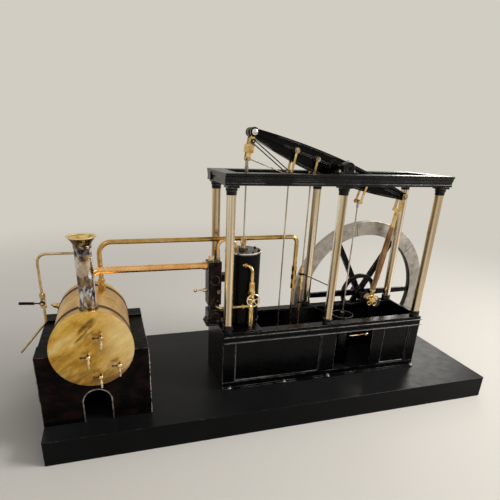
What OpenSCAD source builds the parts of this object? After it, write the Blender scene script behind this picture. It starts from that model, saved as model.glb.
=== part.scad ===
// Model beam engine with its boiler, on a wooden plinth. Millimetres, +Z up.
// The origin is the centre of the plinth's underside; every piece is placed from the top front left
// corner of the plinth: x to the right, y to the back, z up.

/* [Plinth] */
// Length of the plinth board
plinth_l = 900; // [890:5:960]
// Depth of the plinth board, front to back
plinth_w = 375; // [350:5:420]
// Thickness of the plinth board
plinth_h = 47; // [45:1:60]
// Space between the flywheel and the walls of the pit that it turns in
pit_gap = 6; // [5:1:9]

/* [Boiler setting] */
// Length of the setting, left to right
setting_l = 182; // [178:1:188]
// Depth of the setting, front to back
setting_w = 190; // [186:1:200]
// Height of the front and back walls
setting_h = 132; // [126:1:136]
// Distance of the setting from the front edge of the plinth
setting_y = 44; // [30:1:60]
// Thickness of the front wall
front_wall_t = 44; // [40:1:48]
// Thickness of the back wall
back_wall_t = 34; // [28:1:40]
// How far the side walls stop below the end walls
side_wall_drop = 5; // [3:1:8]
// Width of the fire arch
arch_w = 46; // [40:1:50]
// Height of the fire arch at its crown
arch_h = 62; // [56:1:64]
// Width of the bright trim round the fire arch
arch_trim = 2; // [1:0.5:3]

/* [Boiler] */
// Outside diameter of the drum
boiler_d = 128; // [120:1:130]
// Length of the drum
boiler_l = 161; // [150:1:170]
// Height of the drum's axis
boiler_z = 140; // [138:1:146]
// Thickness of the drum's sheet
shell_t = 2.5; // [1.5:0.5:4]
// Thickness of the end plates
plate_t = 5; // [3:1:7]
// How far the front plate reaches past the drum
plate_lip = 3; // [2:0.5:4]
// Thickness of the straps round the drum
strap_t = 1; // [0.6:0.2:1.4]
// Width of one strap
strap_w = 2.5; // [2:0.5:4]

/* [Chimney] */
// Outside diameter of the chimney tube
chimney_d = 26; // [22:1:28]
// Height of the chimney's mouth
chimney_top = 321; // [300:1:340]
// Distance of the chimney behind the setting's front face
chimney_back = 23; // [22:1:30]
// Diameter of the flared mouth
mouth_d = 46; // [40:1:52]

/* [Pipes] */
// Diameter of the copper steam pipe
steam_pipe_d = 12.4; // [10:0.4:14]
// Height of the steam pipe
steam_pipe_z = 241; // [236:1:246]
// Diameter of the brass water pipe
water_pipe_d = 8.6; // [7:0.2:9]
// Height of the water pipe
water_pipe_z = 289; // [285:1:300]
// Diameter of the blow-down pipe
drain_pipe_d = 4.4; // [3.6:0.2:5]
// Height of the blow-down pipe
drain_pipe_z = 278; // [270:1:285]
// Length of the blow-down cock's lever
lever_l = 36; // [28:1:40]

/* [Bed] */
// Board left on the plinth to the right of the bed
bed_end = 125; // [120:1:130]
// Distance of the bed from the front edge of the plinth
bed_y = 87; // [80:1:92]
// Length of the bed
bed_l = 450; // [446:1:460]
// Width of the bed
bed_w = 126; // [122:1:132]
// Height of the bed
bed_h = 121; // [118:1:124]
// Thickness of the bed's plates
bed_t = 4; // [3:0.5:5]
// Width of the ledge that the columns stand on
ledge_w = 20; // [18:1:22]
// Height of the lower front rail
sill_h = 14; // [10:1:20]
// Height of the upper front rail
rail_h = 18; // [14:1:22]
// Thickness of the deck plate under the cylinder
deck_t = 4; // [3:0.5:6]

/* [Frame] */
// Diameter of the columns
column_d = 16.5; // [14:0.5:17]
// Distance of the end columns from the ends of the bed
column_inset = 11; // [10:0.5:14]
// Height of the top of the columns
column_top = 394; // [388:1:400]
// Height of a column's capital
capital_h = 16; // [12:1:18]
// Height of the entablature
entablature_h = 20; // [18:1:24]
// Width of the entablature's beams
entablature_w = 22; // [20:1:26]
// How far the moulding stands out
moulding = 4; // [3:0.5:6]

/* [Cylinder] */
// Distance of the cylinder's axis from the left end of the bed
cylinder_inset = 53; // [51:0.5:54]
// Outside diameter of the steam cylinder
cylinder_d = 68; // [62:1:70]
// Thickness of the cylinder wall
cylinder_t = 5; // [4:0.5:7]
// Height of the top of the cylinder cover
cylinder_top = 269; // [262:1:272]
// Thickness of the cylinder cover
cover_t = 4; // [3:0.5:6]
// Diameter of the piston rod
piston_rod_d = 3; // [2.5:0.5:4]

/* [Beam] */
// How far the beam's end pins stay inside the end columns
beam_inset = 40; // [38:1:44]
// Height of the beam's pivot above the entablature
pivot_rise = 10; // [9:1:14]
// Tilt of the beam at rest, right end down
beam_tilt = 18.2; // [17:0.2:19]
// Depth of the beam above its centre line, at its middle
beam_top_h = 17.5; // [15:0.5:20]
// Depth of the beam below its centre line, at its middle
beam_low_h = 24; // [20:0.5:25]
// Half depth of the beam at its ends
beam_end_h = 7; // [6:0.5:7.5]
// Width of the beam
beam_w = 14; // [12:0.5:14]
// Diameter of the beam's cross shaft
trunnion_d = 10; // [8:1:12]

/* [Links] */
// Diameter of the pins that the links hang on
pin_d = 5; // [4:0.5:6]
// Thickness of a link's strap
strap_link_t = 2.5; // [2:0.5:3]
// Length of the main link
main_link_l = 44.5; // [42:0.5:48]
// Distance of the injection pump's link from the pivot, along the beam
pump_arm = 86; // [80:1:90]
// Distance of the feed pump's link from the pivot, along the beam
feed_arm = 40.5; // [36:0.5:46]
// Distance of the air pump's link from the pivot, along the beam
air_arm = 81; // [76:1:86]

/* [Crank] */
// Distance of the crankshaft from the right end of the bed
crank_inset = 68; // [64:1:74]
// Height of the crankshaft above the bed
crank_rise = 10; // [9:1:12]
// Diameter of the crankshaft
crankshaft_d = 9; // [8:0.5:10]
// Distance of the crank pin from the crankshaft's axis
crank_throw = 29; // [27:0.5:30]
// Turn of the crank at rest, counted from pointing to the right
crank_turn = 149; // [140:1:160]
// Outside diameter of the flywheel
flywheel_d = 346; // [330:2:348]
// Depth of the flywheel's rim, measured along a spoke
rim_depth = 31; // [24:1:34]
// Width of the flywheel's rim
rim_w = 14; // [12:1:18]
// Distance of the flywheel's rim behind the bed
flywheel_back = 17; // [14:1:24]

/* [Pumps] */
// Outside diameter of the air pump
air_pump_d = 48; // [40:1:48]
// Thickness of the air pump's wall
air_pump_t = 2; // [1.5:0.5:3]
// Height of the air pump
air_pump_h = 115; // [100:1:116]
// Diameter of the pump rods
pump_rod_d = 2.8; // [2.4:0.2:3.2]

/* [Hidden] */
$fn = 48;

// Small gaps: a turning fit, a seat between fixed pieces and a space between moving faces
turn_gap = 0.06;
seat_gap = 0.1;
wall_gap = 0.3;
eps = 0.5;

boiler_x = setting_l / 2;
boiler_r = boiler_d / 2;
boiler_end = setting_y + boiler_l;
boiler_top = boiler_z + boiler_r;
cut_r = boiler_r + strap_t + wall_gap;
side_wall_t = boiler_x - cut_r;

bed_right = plinth_l - bed_end;
bed_x = bed_right - bed_l;
bed_back = bed_y + bed_w;
mid_y = bed_y + bed_w / 2;
ledge_mid = ledge_w / 2;
column_span = bed_l - 2 * column_inset;
beam_arm = column_span / 2 - beam_inset;
crank_x = bed_right - crank_inset;
column_xs = [bed_x + bed_l / 2 - column_span / 2, bed_x + bed_l / 2, bed_x + bed_l / 2 + column_span / 2];
column_ys = [bed_y + ledge_mid, bed_back - ledge_mid];
cylinder_x = bed_x + cylinder_inset;
deck_z = bed_h + deck_t;
deck_end = cylinder_x + 25.5;

cylinder_r = cylinder_d / 2;
chest_l = 26;
chest_x = cylinder_x - cylinder_r - 11.5 - chest_l;
chest_top = steam_pipe_z + 9;
oil_x = chest_x + 22;

pivot_x = column_xs[1] + 1;
pivot_z = column_top + entablature_h + pivot_rise;
half_beam = beam_w / 2;
strap_y = half_beam + 1;
strap_out = strap_y + strap_link_t;
side_bar_y = strap_out + 1;
bar_t = 2;
rods_y = side_bar_y + bar_t + 1;
tongue = 3;

shaft_z = bed_h + crank_rise;
flywheel_y = bed_back + flywheel_back;
flywheel_r = flywheel_d / 2;
air_pump_r = air_pump_d / 2;

// A point on the beam's centre line, at a distance to the right of the pivot
function on_beam(u) = [pivot_x + u * cos(beam_tilt), pivot_z - u * sin(beam_tilt)];
// The foot of a link that hangs from a point with a lean to the left
function foot(p, l, lean) = [p[0] - l * sin(lean), p[1] - l * cos(lean)];

left_pin = on_beam(-beam_arm);
right_pin = on_beam(beam_arm);
pump_pin = on_beam(-pump_arm);
feed_pin = on_beam(-feed_arm);
air_pin = on_beam(air_arm);
main_lean = asin((left_pin[0] - cylinder_x) / main_link_l);
main_foot = foot(left_pin, main_link_l, main_lean);
pump_foot = foot(pump_pin, main_link_l, main_lean);
feed_link_l = 34;
feed_lean = 9;
feed_foot = foot(feed_pin, feed_link_l, feed_lean);
air_link_l = 41;
air_lean = 16.5;
air_foot = foot(air_pin, air_link_l, air_lean);
crank_pin = [crank_x + crank_throw * cos(crank_turn), shaft_z + crank_throw * sin(crank_turn)];
rod_l = norm(right_pin - crank_pin);
rod_lean = atan2(right_pin[0] - crank_pin[0], right_pin[1] - crank_pin[1]);
web_t = 5;
web_y = 8;
half_eye = 5;
rods_drop = 15;
rods_apart = 2.8;

// Places what follows from the top front left corner of the plinth
module placed() { translate([-plinth_l / 2, -plinth_w / 2, plinth_h]) children(); }

// Rods and round bars along x, y and z
module bar_x(x0, x1, y, z, d) { translate([x0, y, z]) rotate([0, 90, 0]) cylinder(h = x1 - x0, d = d); }
module bar_y(x, y0, y1, z, d) { translate([x, y0, z]) rotate([-90, 0, 0]) cylinder(h = y1 - y0, d = d); }
module bar_z(x, y, z0, z1, d) { translate([x, y, z0]) cylinder(h = z1 - z0, d = d); }
module nut_z(x, y, z0, z1, d) { translate([x, y, z0]) cylinder(h = z1 - z0, d = d, $fn = 6); }

// A bend of a pipe in the upright plane along x, from angle a through the given sweep
module bend(x, y, z, r, d, a, sweep = 90) {
    translate([x, y, z]) rotate([90, 0, 0]) rotate([0, 0, a])
        rotate_extrude(angle = sweep) translate([r, 0]) circle(d = d);
}

// The solid drum with something round it, for cutting the pieces that sit on it
module drum(extra) { bar_y(boiler_x, 0, plinth_w, boiler_z, boiler_d + 2 * extra); }

module plinth() color([0.09, 0.09, 0.1]) placed() difference() {
    translate([0, 0, -plinth_h]) cube([plinth_l, plinth_w, plinth_h]);
    pit_h = flywheel_r + pit_gap;
    half = sqrt(pit_h * pit_h - shaft_z * shaft_z);
    translate([crank_x - half, flywheel_y - pit_gap, -plinth_h - eps])
        cube([2 * half, rim_w + 2 * pit_gap, plinth_h + 2 * eps]);
}

// The shape of the fire arch, from in front of the setting to behind its front wall
module arch(grow) {
    r = arch_w / 2 + grow;
    spring = arch_h - arch_w / 2;
    y0 = setting_y - 5;
    y1 = setting_y + front_wall_t + eps;
    translate([boiler_x - r, y0, -eps]) cube([2 * r, y1 - y0, spring + eps]);
    bar_y(boiler_x, y0, y1, spring, 2 * r);
}

module setting_end_walls() color([0.13, 0.09, 0.08]) placed() difference() {
    back = setting_y + setting_w - back_wall_t;
    union() {
        translate([0, setting_y, 0]) cube([setting_l, front_wall_t, setting_h]);
        translate([0, back, 0]) cube([setting_l, back_wall_t, setting_h]);
    }
    bar_y(boiler_x, setting_y - eps, setting_y + setting_w + eps, boiler_z, 2 * cut_r);
    arch(arch_trim);
}

module fire_arch_trim() color([0.7, 0.68, 0.62]) placed() intersection() {
    difference() {
        arch(arch_trim - seat_gap);
        translate([0, -1, 0]) arch(0);
    }
    translate([0, setting_y - 1.5, 0]) cube([setting_l, 6, setting_h]);
}

module setting_side_walls() color([0.13, 0.09, 0.08]) placed() {
    long = setting_w - front_wall_t - back_wall_t;
    for (x = [0, setting_l - side_wall_t])
        translate([x, setting_y + front_wall_t, 0]) cube([side_wall_t, long, setting_h - side_wall_drop]);
}

module boiler_shell() color([0.72, 0.55, 0.22]) placed() difference() {
    bar_y(boiler_x, setting_y, boiler_end, boiler_z, boiler_d);
    bar_y(boiler_x, setting_y - eps, boiler_end + eps, boiler_z, boiler_d - 2 * shell_t);
}

module boiler_end_plates() color([0.8, 0.62, 0.28]) placed() {
    bar_y(boiler_x, setting_y - plate_t, setting_y, boiler_z, boiler_d + 2 * plate_lip);
    bar_y(boiler_x, boiler_end, boiler_end + plate_t, boiler_z, boiler_d);
}

module boiler_straps() color([0.3, 0.2, 0.1]) placed()
    for (y = [setting_y + 27, setting_y + 32, boiler_end - 24, boiler_end - 19]) difference() {
        bar_y(boiler_x, y, y + strap_w, boiler_z, boiler_d + 2 * strap_t);
        bar_y(boiler_x, y - eps, y + strap_w + eps, boiler_z, boiler_d + 2 * seat_gap);
    }

// One cock on the front plate: a stub, a barrel to the right and a spout that hangs down
module try_cock(dx, dz) {
    face = setting_y - plate_t;
    reach = 9;
    translate([boiler_x + dx, face, boiler_z + dz]) {
        bar_y(-8, -reach, 0, 0, 4);
        bar_x(-11, 3, -reach, 0, 6.4);
        bar_z(0, -reach, -17, 0, 4);
        bar_z(0, -reach, -20, -15, 5);
    }
}

module boiler_fittings() color([0.72, 0.7, 0.66]) placed() {
    for (c = [[15, 24], [-7, -9], [41, -29], [10, -47]]) try_cock(c[0], c[1]);
    difference() {
        translate([boiler_x, boiler_end - 10, boiler_z]) rotate([0, -70, 0]) {
            cylinder(h = boiler_r + 3, d = 11);
            cylinder(h = boiler_r + 11, d = 9, $fn = 6);
            cylinder(h = boiler_r + 16, d = 5);
        }
        drum(seat_gap);
    }
}

chimney_y = setting_y + chimney_back;
foot_top = boiler_top + 3;
rim_z = chimney_top - 18;
wall = 1.5;

module chimney_tube() color([0.55, 0.54, 0.52]) placed() difference() {
    bar_z(boiler_x, chimney_y, boiler_top - 6, rim_z, chimney_d);
    bar_z(boiler_x, chimney_y, boiler_top - 8, rim_z + eps, chimney_d - 2 * wall);
    drum(seat_gap);
    band_cut();
}

// Clears the strap that runs under the chimney's foot
module band_cut() {
    bar_y(boiler_x, setting_y + 26, setting_y + 36, boiler_z, boiler_d + 2 * strap_t + 2 * seat_gap);
}

module chimney_fittings() color([0.8, 0.6, 0.2]) placed() {
    tube_r = chimney_d / 2;
    difference() {
        bar_z(boiler_x, chimney_y, boiler_top - 8, foot_top, chimney_d + 5);
        bar_z(boiler_x, chimney_y, boiler_top - 9, foot_top + eps, chimney_d + 2 * seat_gap);
        drum(seat_gap);
        band_cut();
    }
    mouth_r = mouth_d / 2;
    translate([boiler_x, chimney_y, 0]) rotate_extrude() polygon([[tube_r - wall, rim_z],
        [tube_r + 0.8, rim_z], [tube_r + 0.8, rim_z + 3], [tube_r + 0.2, rim_z + 4], [tube_r + 3, rim_z + 10],
        [mouth_r - 1, chimney_top - 1.2], [mouth_r, chimney_top - 1.2], [mouth_r, chimney_top],
        [mouth_r - 2, chimney_top], [tube_r + 1.5, rim_z + 10.5], [tube_r - wall, rim_z + 3]]);
}

drain_x = 13.5;
drain_y = setting_y + 91;
drain_bend = 15;
cock_z = 195;

// The thin pipe that rises behind the chimney, runs left and comes down past the setting
module drain_pipe() color([0.75, 0.58, 0.25]) placed() {
    d = drain_pipe_d;
    low_z = 160;
    slant = 41;
    difference() {
        union() {
            bar_z(boiler_x, drain_y, boiler_top - 3, drain_pipe_z - drain_bend, d);
            bar_z(boiler_x, drain_y, boiler_top - 3, boiler_top + 5, d + 4);
        }
        drum(seat_gap);
    }
    bend(boiler_x - drain_bend, drain_y, drain_pipe_z - drain_bend, drain_bend, d, 0);
    bar_x(drain_x + drain_bend, boiler_x - drain_bend, drain_y, drain_pipe_z, d);
    bend(drain_x + drain_bend, drain_y, drain_pipe_z - drain_bend, drain_bend, d, 90);
    bar_z(drain_x, drain_y, low_z, drain_pipe_z - drain_bend, d);
    r = 9;
    bend(drain_x - r, drain_y, low_z, r, d, -slant, slant);
    translate([drain_x - r + r * cos(slant), drain_y, low_z - r * sin(slant)])
        rotate([0, 180 + slant, 0]) cylinder(h = 70, d = d);
    nut_z(drain_x, drain_y, cock_z - 12, cock_z - 7, 10);
    bar_z(drain_x, drain_y, cock_z - 8, cock_z + 8, 8);
    nut_z(drain_x, drain_y, cock_z + 7, cock_z + 14, 10);
    bar_y(drain_x, drain_y - 7, drain_y + 5, cock_z, 7);
    bar_y(drain_x, drain_y - 13, drain_y - 7, cock_z, 3);
    bar_y(drain_x, drain_y - 14.5, drain_y - 13, cock_z, 5);
}

module drain_lever() color([0.12, 0.12, 0.12]) placed() {
    translate([drain_x, drain_y - 10.5, cock_z]) rotate([0, 4, 0]) difference() {
        union() {
            bar_y(0, -1.5, 1.5, 0, 9);
            bar_x(-lever_l, -3, 0, 0, 2.4);
            bar_x(-lever_l, -lever_l / 3, 0, 0, 5);
        }
        bar_y(0, -2, 2, 0, 3 + 2 * turn_gap);
    }
}

water_x0 = boiler_x + 21;
water_x1 = bed_x + 170;
water_y = mid_y + 12;
water_bend = 22;

// The long brass pipe from the drum over the bed, its union and the thin pipe below it
module water_pipe() color([0.78, 0.6, 0.25]) placed() {
    d = water_pipe_d;
    union_z0 = water_pipe_z - 109;
    union_z1 = water_pipe_z - 61;
    end_bend = 12;
    difference() {
        union() {
            bar_z(water_x0, water_y, boiler_top - 9, water_pipe_z - water_bend, d);
            nut_z(water_x0, water_y, boiler_top - 9, boiler_top + 7, d + 5);
            nut_z(water_x0, water_y, boiler_top + 11, boiler_top + 17, d + 4);
        }
        drum(seat_gap);
    }
    bend(water_x0 + water_bend, water_y, water_pipe_z - water_bend, water_bend, d, 90);
    bar_x(water_x0 + water_bend, water_x1 - end_bend, water_y, water_pipe_z, d);
    bend(water_x1 - end_bend, water_y, water_pipe_z - end_bend, end_bend, d, 0);
    bar_z(water_x1, water_y, union_z1, water_pipe_z - end_bend, d);
    nut_z(water_x1, water_y, union_z1 - 10, union_z1, 11.5);
    bar_z(water_x1, water_y, union_z0 + 8, union_z1 - 8, 10);
    nut_z(water_x1, water_y, union_z0 + 20, union_z0 + 30, 12);
    nut_z(water_x1, water_y, union_z0, union_z0 + 10, 11);
    bar_z(water_x1, water_y, 0, union_z0 + 2, 5);
}

// The copper steam pipe into the valve chest, and the oil pipe from the chest to the cylinder cover
module steam_pipes() color([0.75, 0.4, 0.2]) placed() {
    d = steam_pipe_d;
    r = 22;
    difference() {
        bar_z(boiler_x, mid_y, boiler_top - 3, steam_pipe_z - r, d);
        drum(seat_gap);
    }
    bend(boiler_x + r, mid_y, steam_pipe_z - r, r, d, 90);
    bar_x(boiler_x + r, chest_x, mid_y, steam_pipe_z, d);
    bar_x(chest_x - 9, chest_x, mid_y, steam_pipe_z, d + 3);
    oil_r = 12;
    oil_z = chest_top + 39;
    oil_x1 = cylinder_x - 15;
    bar_z(oil_x, mid_y, chest_top + 7, oil_z - oil_r, 5.2);
    bend(oil_x + oil_r, mid_y, oil_z - oil_r, oil_r, 5.2, 90);
    bar_x(oil_x + oil_r, oil_x1 - oil_r, mid_y, oil_z, 5.2);
    bend(oil_x1 - oil_r, mid_y, oil_z - oil_r, oil_r, 5.2, 0);
    bar_z(oil_x1, mid_y, cylinder_top, oil_z - oil_r, 5.2);
}

module valve_chest() color([0.08, 0.08, 0.09]) placed() {
    translate([chest_x, mid_y - chest_l / 2, deck_z]) {
        translate([-2, -2, 0]) cube([chest_l + 4, chest_l + 4, 5]);
        cube([chest_l, chest_l, 27]);
        translate([4, 3, 0]) cube([chest_l - 7, chest_l - 6, 60]);
        translate([0, 0, 39]) cube([chest_l, chest_l, chest_top - deck_z - 39]);
        for (z = [14, 90]) bar_y(chest_l / 2, -3, 2, z, 18);
        bar_y(chest_l / 2, -2, 10, 43, 15);
    }
    difference() {
        for (z = [8, 84]) translate([chest_x + chest_l - 2, mid_y - 8, deck_z + z]) cube([14, 16, 15]);
        bar_z(cylinder_x, mid_y, 0, cylinder_top, cylinder_d + 2 * wall_gap);
    }
}

module chest_fittings() color([0.7, 0.68, 0.64]) placed() {
    y = mid_y;
    spindle_z = deck_z + 67;
    bar_x(chest_x - 24, chest_x, y, spindle_z, 3);
    bar_x(chest_x - 8, chest_x, y, spindle_z, 8);
    translate([chest_x - 23, y, spindle_z]) sphere(d = 7);
    nut_y = y - chest_l / 2;
    translate([chest_x + chest_l - 5, nut_y, spindle_z]) rotate([90, 0, 0]) cylinder(h = 5, d = 10, $fn = 6);
    nut_z(chest_x + 8, y, chest_top, chest_top + 10, 11);
    nut_z(oil_x, y, chest_top, chest_top + 7, 8);
}

module cylinder_barrel() color([0.1, 0.12, 0.15]) placed() difference() {
    union() {
        bar_z(cylinder_x, mid_y, deck_z, cylinder_top - cover_t, cylinder_d);
        bar_z(cylinder_x, mid_y, deck_z, deck_z + 5, cylinder_d + 4);
    }
    bar_z(cylinder_x, mid_y, deck_z + 5, cylinder_top, cylinder_d - 2 * cylinder_t);
}

module cylinder_cover() color([0.6, 0.6, 0.62]) placed() difference() {
    union() {
        bar_z(cylinder_x, mid_y, cylinder_top - cover_t, cylinder_top, cylinder_d + 3);
        bar_z(cylinder_x, mid_y, cylinder_top, cylinder_top + 5, 18);
        bar_z(cylinder_x, mid_y, cylinder_top, cylinder_top + 14, 9);
        nut_z(cylinder_x, mid_y, cylinder_top + 13, cylinder_top + 23, 13);
    }
    bar_z(cylinder_x, mid_y, cylinder_top - 10, cylinder_top + 30, piston_rod_d + 2 * turn_gap);
}

injection_x = cylinder_x + 6.5;
injection_y = mid_y - 42;
wheel_z = deck_z + 59;
branch_z = deck_z + 43;

// The pipe in front of the cylinder with its valve, and the branch that runs back to the chest
module injection_pipe() color([0.8, 0.64, 0.3]) placed() {
    x = injection_x;
    y = injection_y;
    top_z = cylinder_top - 22;
    r = 12;
    turn_x = chest_x + chest_l / 2;
    difference() {
        translate([x, y, 0]) rotate([0, 0, 135]) union() {
            bend(r, 0, top_z - r, r, 6.4, 90);
            bar_x(r, r + 14, 0, top_z, 6.4);
            bar_x(r - 0.5, r + 14, 0, top_z, 10);
        }
        bar_z(cylinder_x, mid_y, 0, cylinder_top, cylinder_d + 2 * seat_gap);
    }
    bar_z(x, y, wheel_z + 4, top_z - r, 6.4);
    bar_z(x, y, wheel_z + 9, wheel_z + 32, 11.6);
    nut_z(x, y, wheel_z + 9, wheel_z + 15, 14);
    bar_z(x, y, branch_z - 3, wheel_z + 5, 11);
    bar_z(x, y, deck_z + 6, branch_z - 2, 11);
    nut_z(x, y, deck_z + 5.3, deck_z + 11, 12);
    bar_z(x, y, deck_z, deck_z + 5, 8);
    bar_x(turn_x + 8, x, y, branch_z, 5.2);
    bar_x(x - 18, x - 15, y, branch_z, 11);
    translate([turn_x + 8, y + 8, branch_z]) rotate([0, 0, 180]) rotate_extrude(angle = 90)
        translate([8, 0]) circle(d = 5.2);
    bar_y(turn_x, y + 8, mid_y - chest_l / 2 - 2, branch_z, 5.2);
    difference() {
        bar_y(x, y - 10, y, wheel_z, 7);
        bar_y(x, y - 11, y - 3, wheel_z, 3 + 2 * turn_gap);
    }
}

module injection_handwheel() color([0.85, 0.75, 0.5]) placed() {
    y = injection_y - 13;
    rim_r = 12.2;
    spokes = 5;
    bar_y(injection_x, y - 2, injection_y - 6.2, wheel_z, 3);
    bar_y(injection_x, y - 1.5, y + 1.5, wheel_z, 6);
    translate([injection_x, y, wheel_z]) rotate([90, 0, 0]) {
        rotate_extrude() translate([rim_r, 0]) circle(d = 2.6);
        for (i = [0:spokes - 1]) rotate([0, 0, 90 + i * 360 / spokes]) rotate([0, 90, 0])
            cylinder(h = rim_r, d = 1.8);
    }
}

// Front of the bed: rails, posts and panels
post_spans = [[0, 25], [213, 33], [333, 29], [bed_l - 22, 22]];
panel_lap = 4;
module bed_front_rails() color([0.07, 0.07, 0.08]) placed() translate([bed_x, bed_y, 0]) {
    translate([0, -6, 0]) cube([bed_l, 6, 3]);
    cube([bed_l, bed_t, sill_h]);
    translate([0, 0, bed_h - rail_h]) cube([bed_l, bed_t, rail_h]);
    translate([bed_t, 0, bed_h - 4]) cube([bed_l - 2 * bed_t, ledge_w, 4]);
}

module bed_front_posts() color([0.07, 0.07, 0.08]) placed() translate([bed_x, bed_y, 0])
    for (p = post_spans) translate([p[0], 0, sill_h]) cube([p[1], bed_t, bed_h - rail_h - sill_h]);

module bed_front_panels() color([0.05, 0.05, 0.05]) placed() translate([bed_x, bed_y + bed_t, 0])
    for (i = [0, 2]) {
        x0 = post_spans[i][0] + post_spans[i][1] - panel_lap;
        x1 = post_spans[i + 1][0] + panel_lap;
        translate([x0, 0, sill_h - panel_lap]) cube([x1 - x0, 2, bed_h - rail_h - sill_h + 2 * panel_lap]);
    }

module bed_back_wall() color([0.07, 0.07, 0.08]) placed() translate([bed_x, bed_back, 0]) {
    translate([0, -bed_t, 0]) cube([bed_l, bed_t, bed_h]);
    translate([bed_t, -ledge_w, bed_h - 4]) cube([bed_l - 2 * bed_t, ledge_w, 4]);
}

module bed_end_walls() color([0.07, 0.07, 0.08]) placed()
    for (x = [bed_x, bed_right - bed_t])
        translate([x, bed_y + bed_t, 0]) cube([bed_t, bed_w - 2 * bed_t, bed_h]);

module deck_plate() color([0.25, 0.26, 0.27]) placed() {
    translate([bed_x, bed_y, bed_h]) cube([deck_end - bed_x, bed_w, deck_t]);
    translate([chest_x - 4, mid_y - 17, bed_h]) cube([bed_x - chest_x + 4 + eps, 34, deck_t]);
}

function base_z(x) = x < deck_end ? deck_z : bed_h;
base_h = 12;
module columns() color([0.72, 0.66, 0.52]) placed()
    for (x = column_xs, y = column_ys) bar_z(x, y, base_z(x) + base_h, column_top - capital_h, column_d);

module column_fittings() color([0.06, 0.06, 0.06]) placed()
    for (x = column_xs, y = column_ys) {
        bar_z(x, y, base_z(x), base_z(x) + 4, ledge_w);
        bar_z(x, y, base_z(x), base_z(x) + base_h, column_d + 3);
        bar_z(x, y, column_top - capital_h, column_top, column_d + 1.5);
        bar_z(x, y, column_top - 9, column_top, column_d + 4);
        translate([x - 11, y - 11, column_top - 4]) cube([22, 22, 4]);
    }

// One beam of the entablature: plain below, with a stepped moulding on its outer side
module entablature_beam(l) {
    h = entablature_h;
    w = entablature_w;
    rotate([90, 0, 90]) linear_extrude(l) polygon([[w, 0], [w, h], [-moulding, h], [-moulding, h - 4],
        [-moulding / 2, h - 6], [-moulding / 2, h - 9], [0, h - 12], [0, 4], [-1, 4], [-1, 0]]);
}

end_len = column_ys[1] - column_ys[0] - entablature_w;
module entablature_sides() color([0.07, 0.07, 0.08]) placed() {
    l = column_span + entablature_w;
    x = column_xs[0] - entablature_w / 2;
    translate([x - moulding, column_ys[0] - entablature_w / 2, column_top]) entablature_beam(l + 2 * moulding);
    translate([x - moulding, column_ys[1] + entablature_w / 2, column_top]) mirror([0, 1, 0])
        entablature_beam(l + 2 * moulding);
}

module entablature_ends() color([0.07, 0.07, 0.08]) placed() {
    y = column_ys[0] + entablature_w / 2;
    translate([column_xs[0] - entablature_w / 2, y + end_len, column_top]) rotate([0, 0, -90])
        entablature_beam(end_len);
    translate([column_xs[2] + entablature_w / 2, y, column_top]) rotate([0, 0, 90]) entablature_beam(end_len);
}

// A bearing block with a round cap over a shaft along y
module bearing(x, y, foot_z, axis_z, shaft, long, thick) {
    translate([x, y, 0]) difference() {
        union() {
            translate([-long / 2, -thick / 2, foot_z]) cube([long, thick, 4]);
            translate([-shaft, -thick / 2, foot_z]) cube([2 * shaft, thick, axis_z - foot_z]);
            bar_y(0, -thick / 2, thick / 2, axis_z, 2 * shaft + 2);
            bar_z(0, 0, axis_z, axis_z + shaft + 4, 4);
        }
        bar_y(0, -thick, thick, axis_z, shaft + 2 * turn_gap);
        translate([-long, -thick, foot_z - 20]) cube([2 * long, 2 * thick, 20]);
    }
}

module shaft_bearings() color([0.08, 0.08, 0.08]) placed() for (y = column_ys) {
    bearing(pivot_x, y, column_top + entablature_h, pivot_z, trunnion_d, 38, 16);
    if (y > mid_y) bearing(crank_x, y, bed_h, shaft_z, crankshaft_d, 34, 12);
}

module air_pump() color([0.12, 0.13, 0.15]) placed() translate([air_foot[0], mid_y, 0]) {
    difference() {
        bar_z(0, 0, 0, air_pump_h, air_pump_d);
        bar_z(0, 0, 5, air_pump_h + eps, air_pump_d - 2 * air_pump_t);
    }
    bar_x(air_pump_r - 1, air_pump_r + 46, 0, 57, 5);
    translate([air_pump_r + 48, 0, 57]) sphere(d = 10);
}

module feed_pumps() color([0.8, 0.64, 0.3]) placed() {
    difference() {
        union() {
            bar_z(feed_foot[0], mid_y, 0, 183, 5);
            bar_z(feed_foot[0], mid_y, 181, 226, 8);
            nut_z(feed_foot[0], mid_y, 196, 206, 9.4);
            nut_z(feed_foot[0], mid_y, 181, 187, 9.4);
        }
        bar_z(feed_foot[0], mid_y, 120, 230, pump_rod_d + 2 * turn_gap);
    }
    difference() {
        union() {
            bar_z(pump_foot[0], mid_y, 0, 80, 20);
            bar_z(pump_foot[0], mid_y, 78, 92, 10);
            bar_z(pump_foot[0], mid_y, 0, 5, 30);
        }
        bar_z(pump_foot[0], mid_y, 20, 100, pump_rod_d + 2 * turn_gap);
    }
}

// Two thin stays that steady the feed pump from the middle front column
module guide_stays() color([0.1, 0.1, 0.1]) placed()
    for (st = [[214, 200, 8], [152, 144, 5]]) {
        px = feed_foot[0];
        a = [px + 2.4, mid_y - st[2] / 2 - 1, st[0]];
        b = [column_xs[1], column_ys[0], st[1]];
        d = b - a;
        difference() {
            union() {
                translate(a) rotate([0, acos(d[2] / norm(d)), atan2(d[1], d[0])]) cylinder(h = norm(d), d = 2);
                bar_z(px, mid_y, st[0] - 2, st[0] + 2, st[2] + 4);
            }
            bar_z(column_xs[1], column_ys[0], st[1] - 30, st[1] + 30, column_d + 2 * seat_gap);
            bar_z(px, mid_y, st[0] - 3, st[0] + 3, st[2] + 2 * seat_gap);
        }
    }

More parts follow.
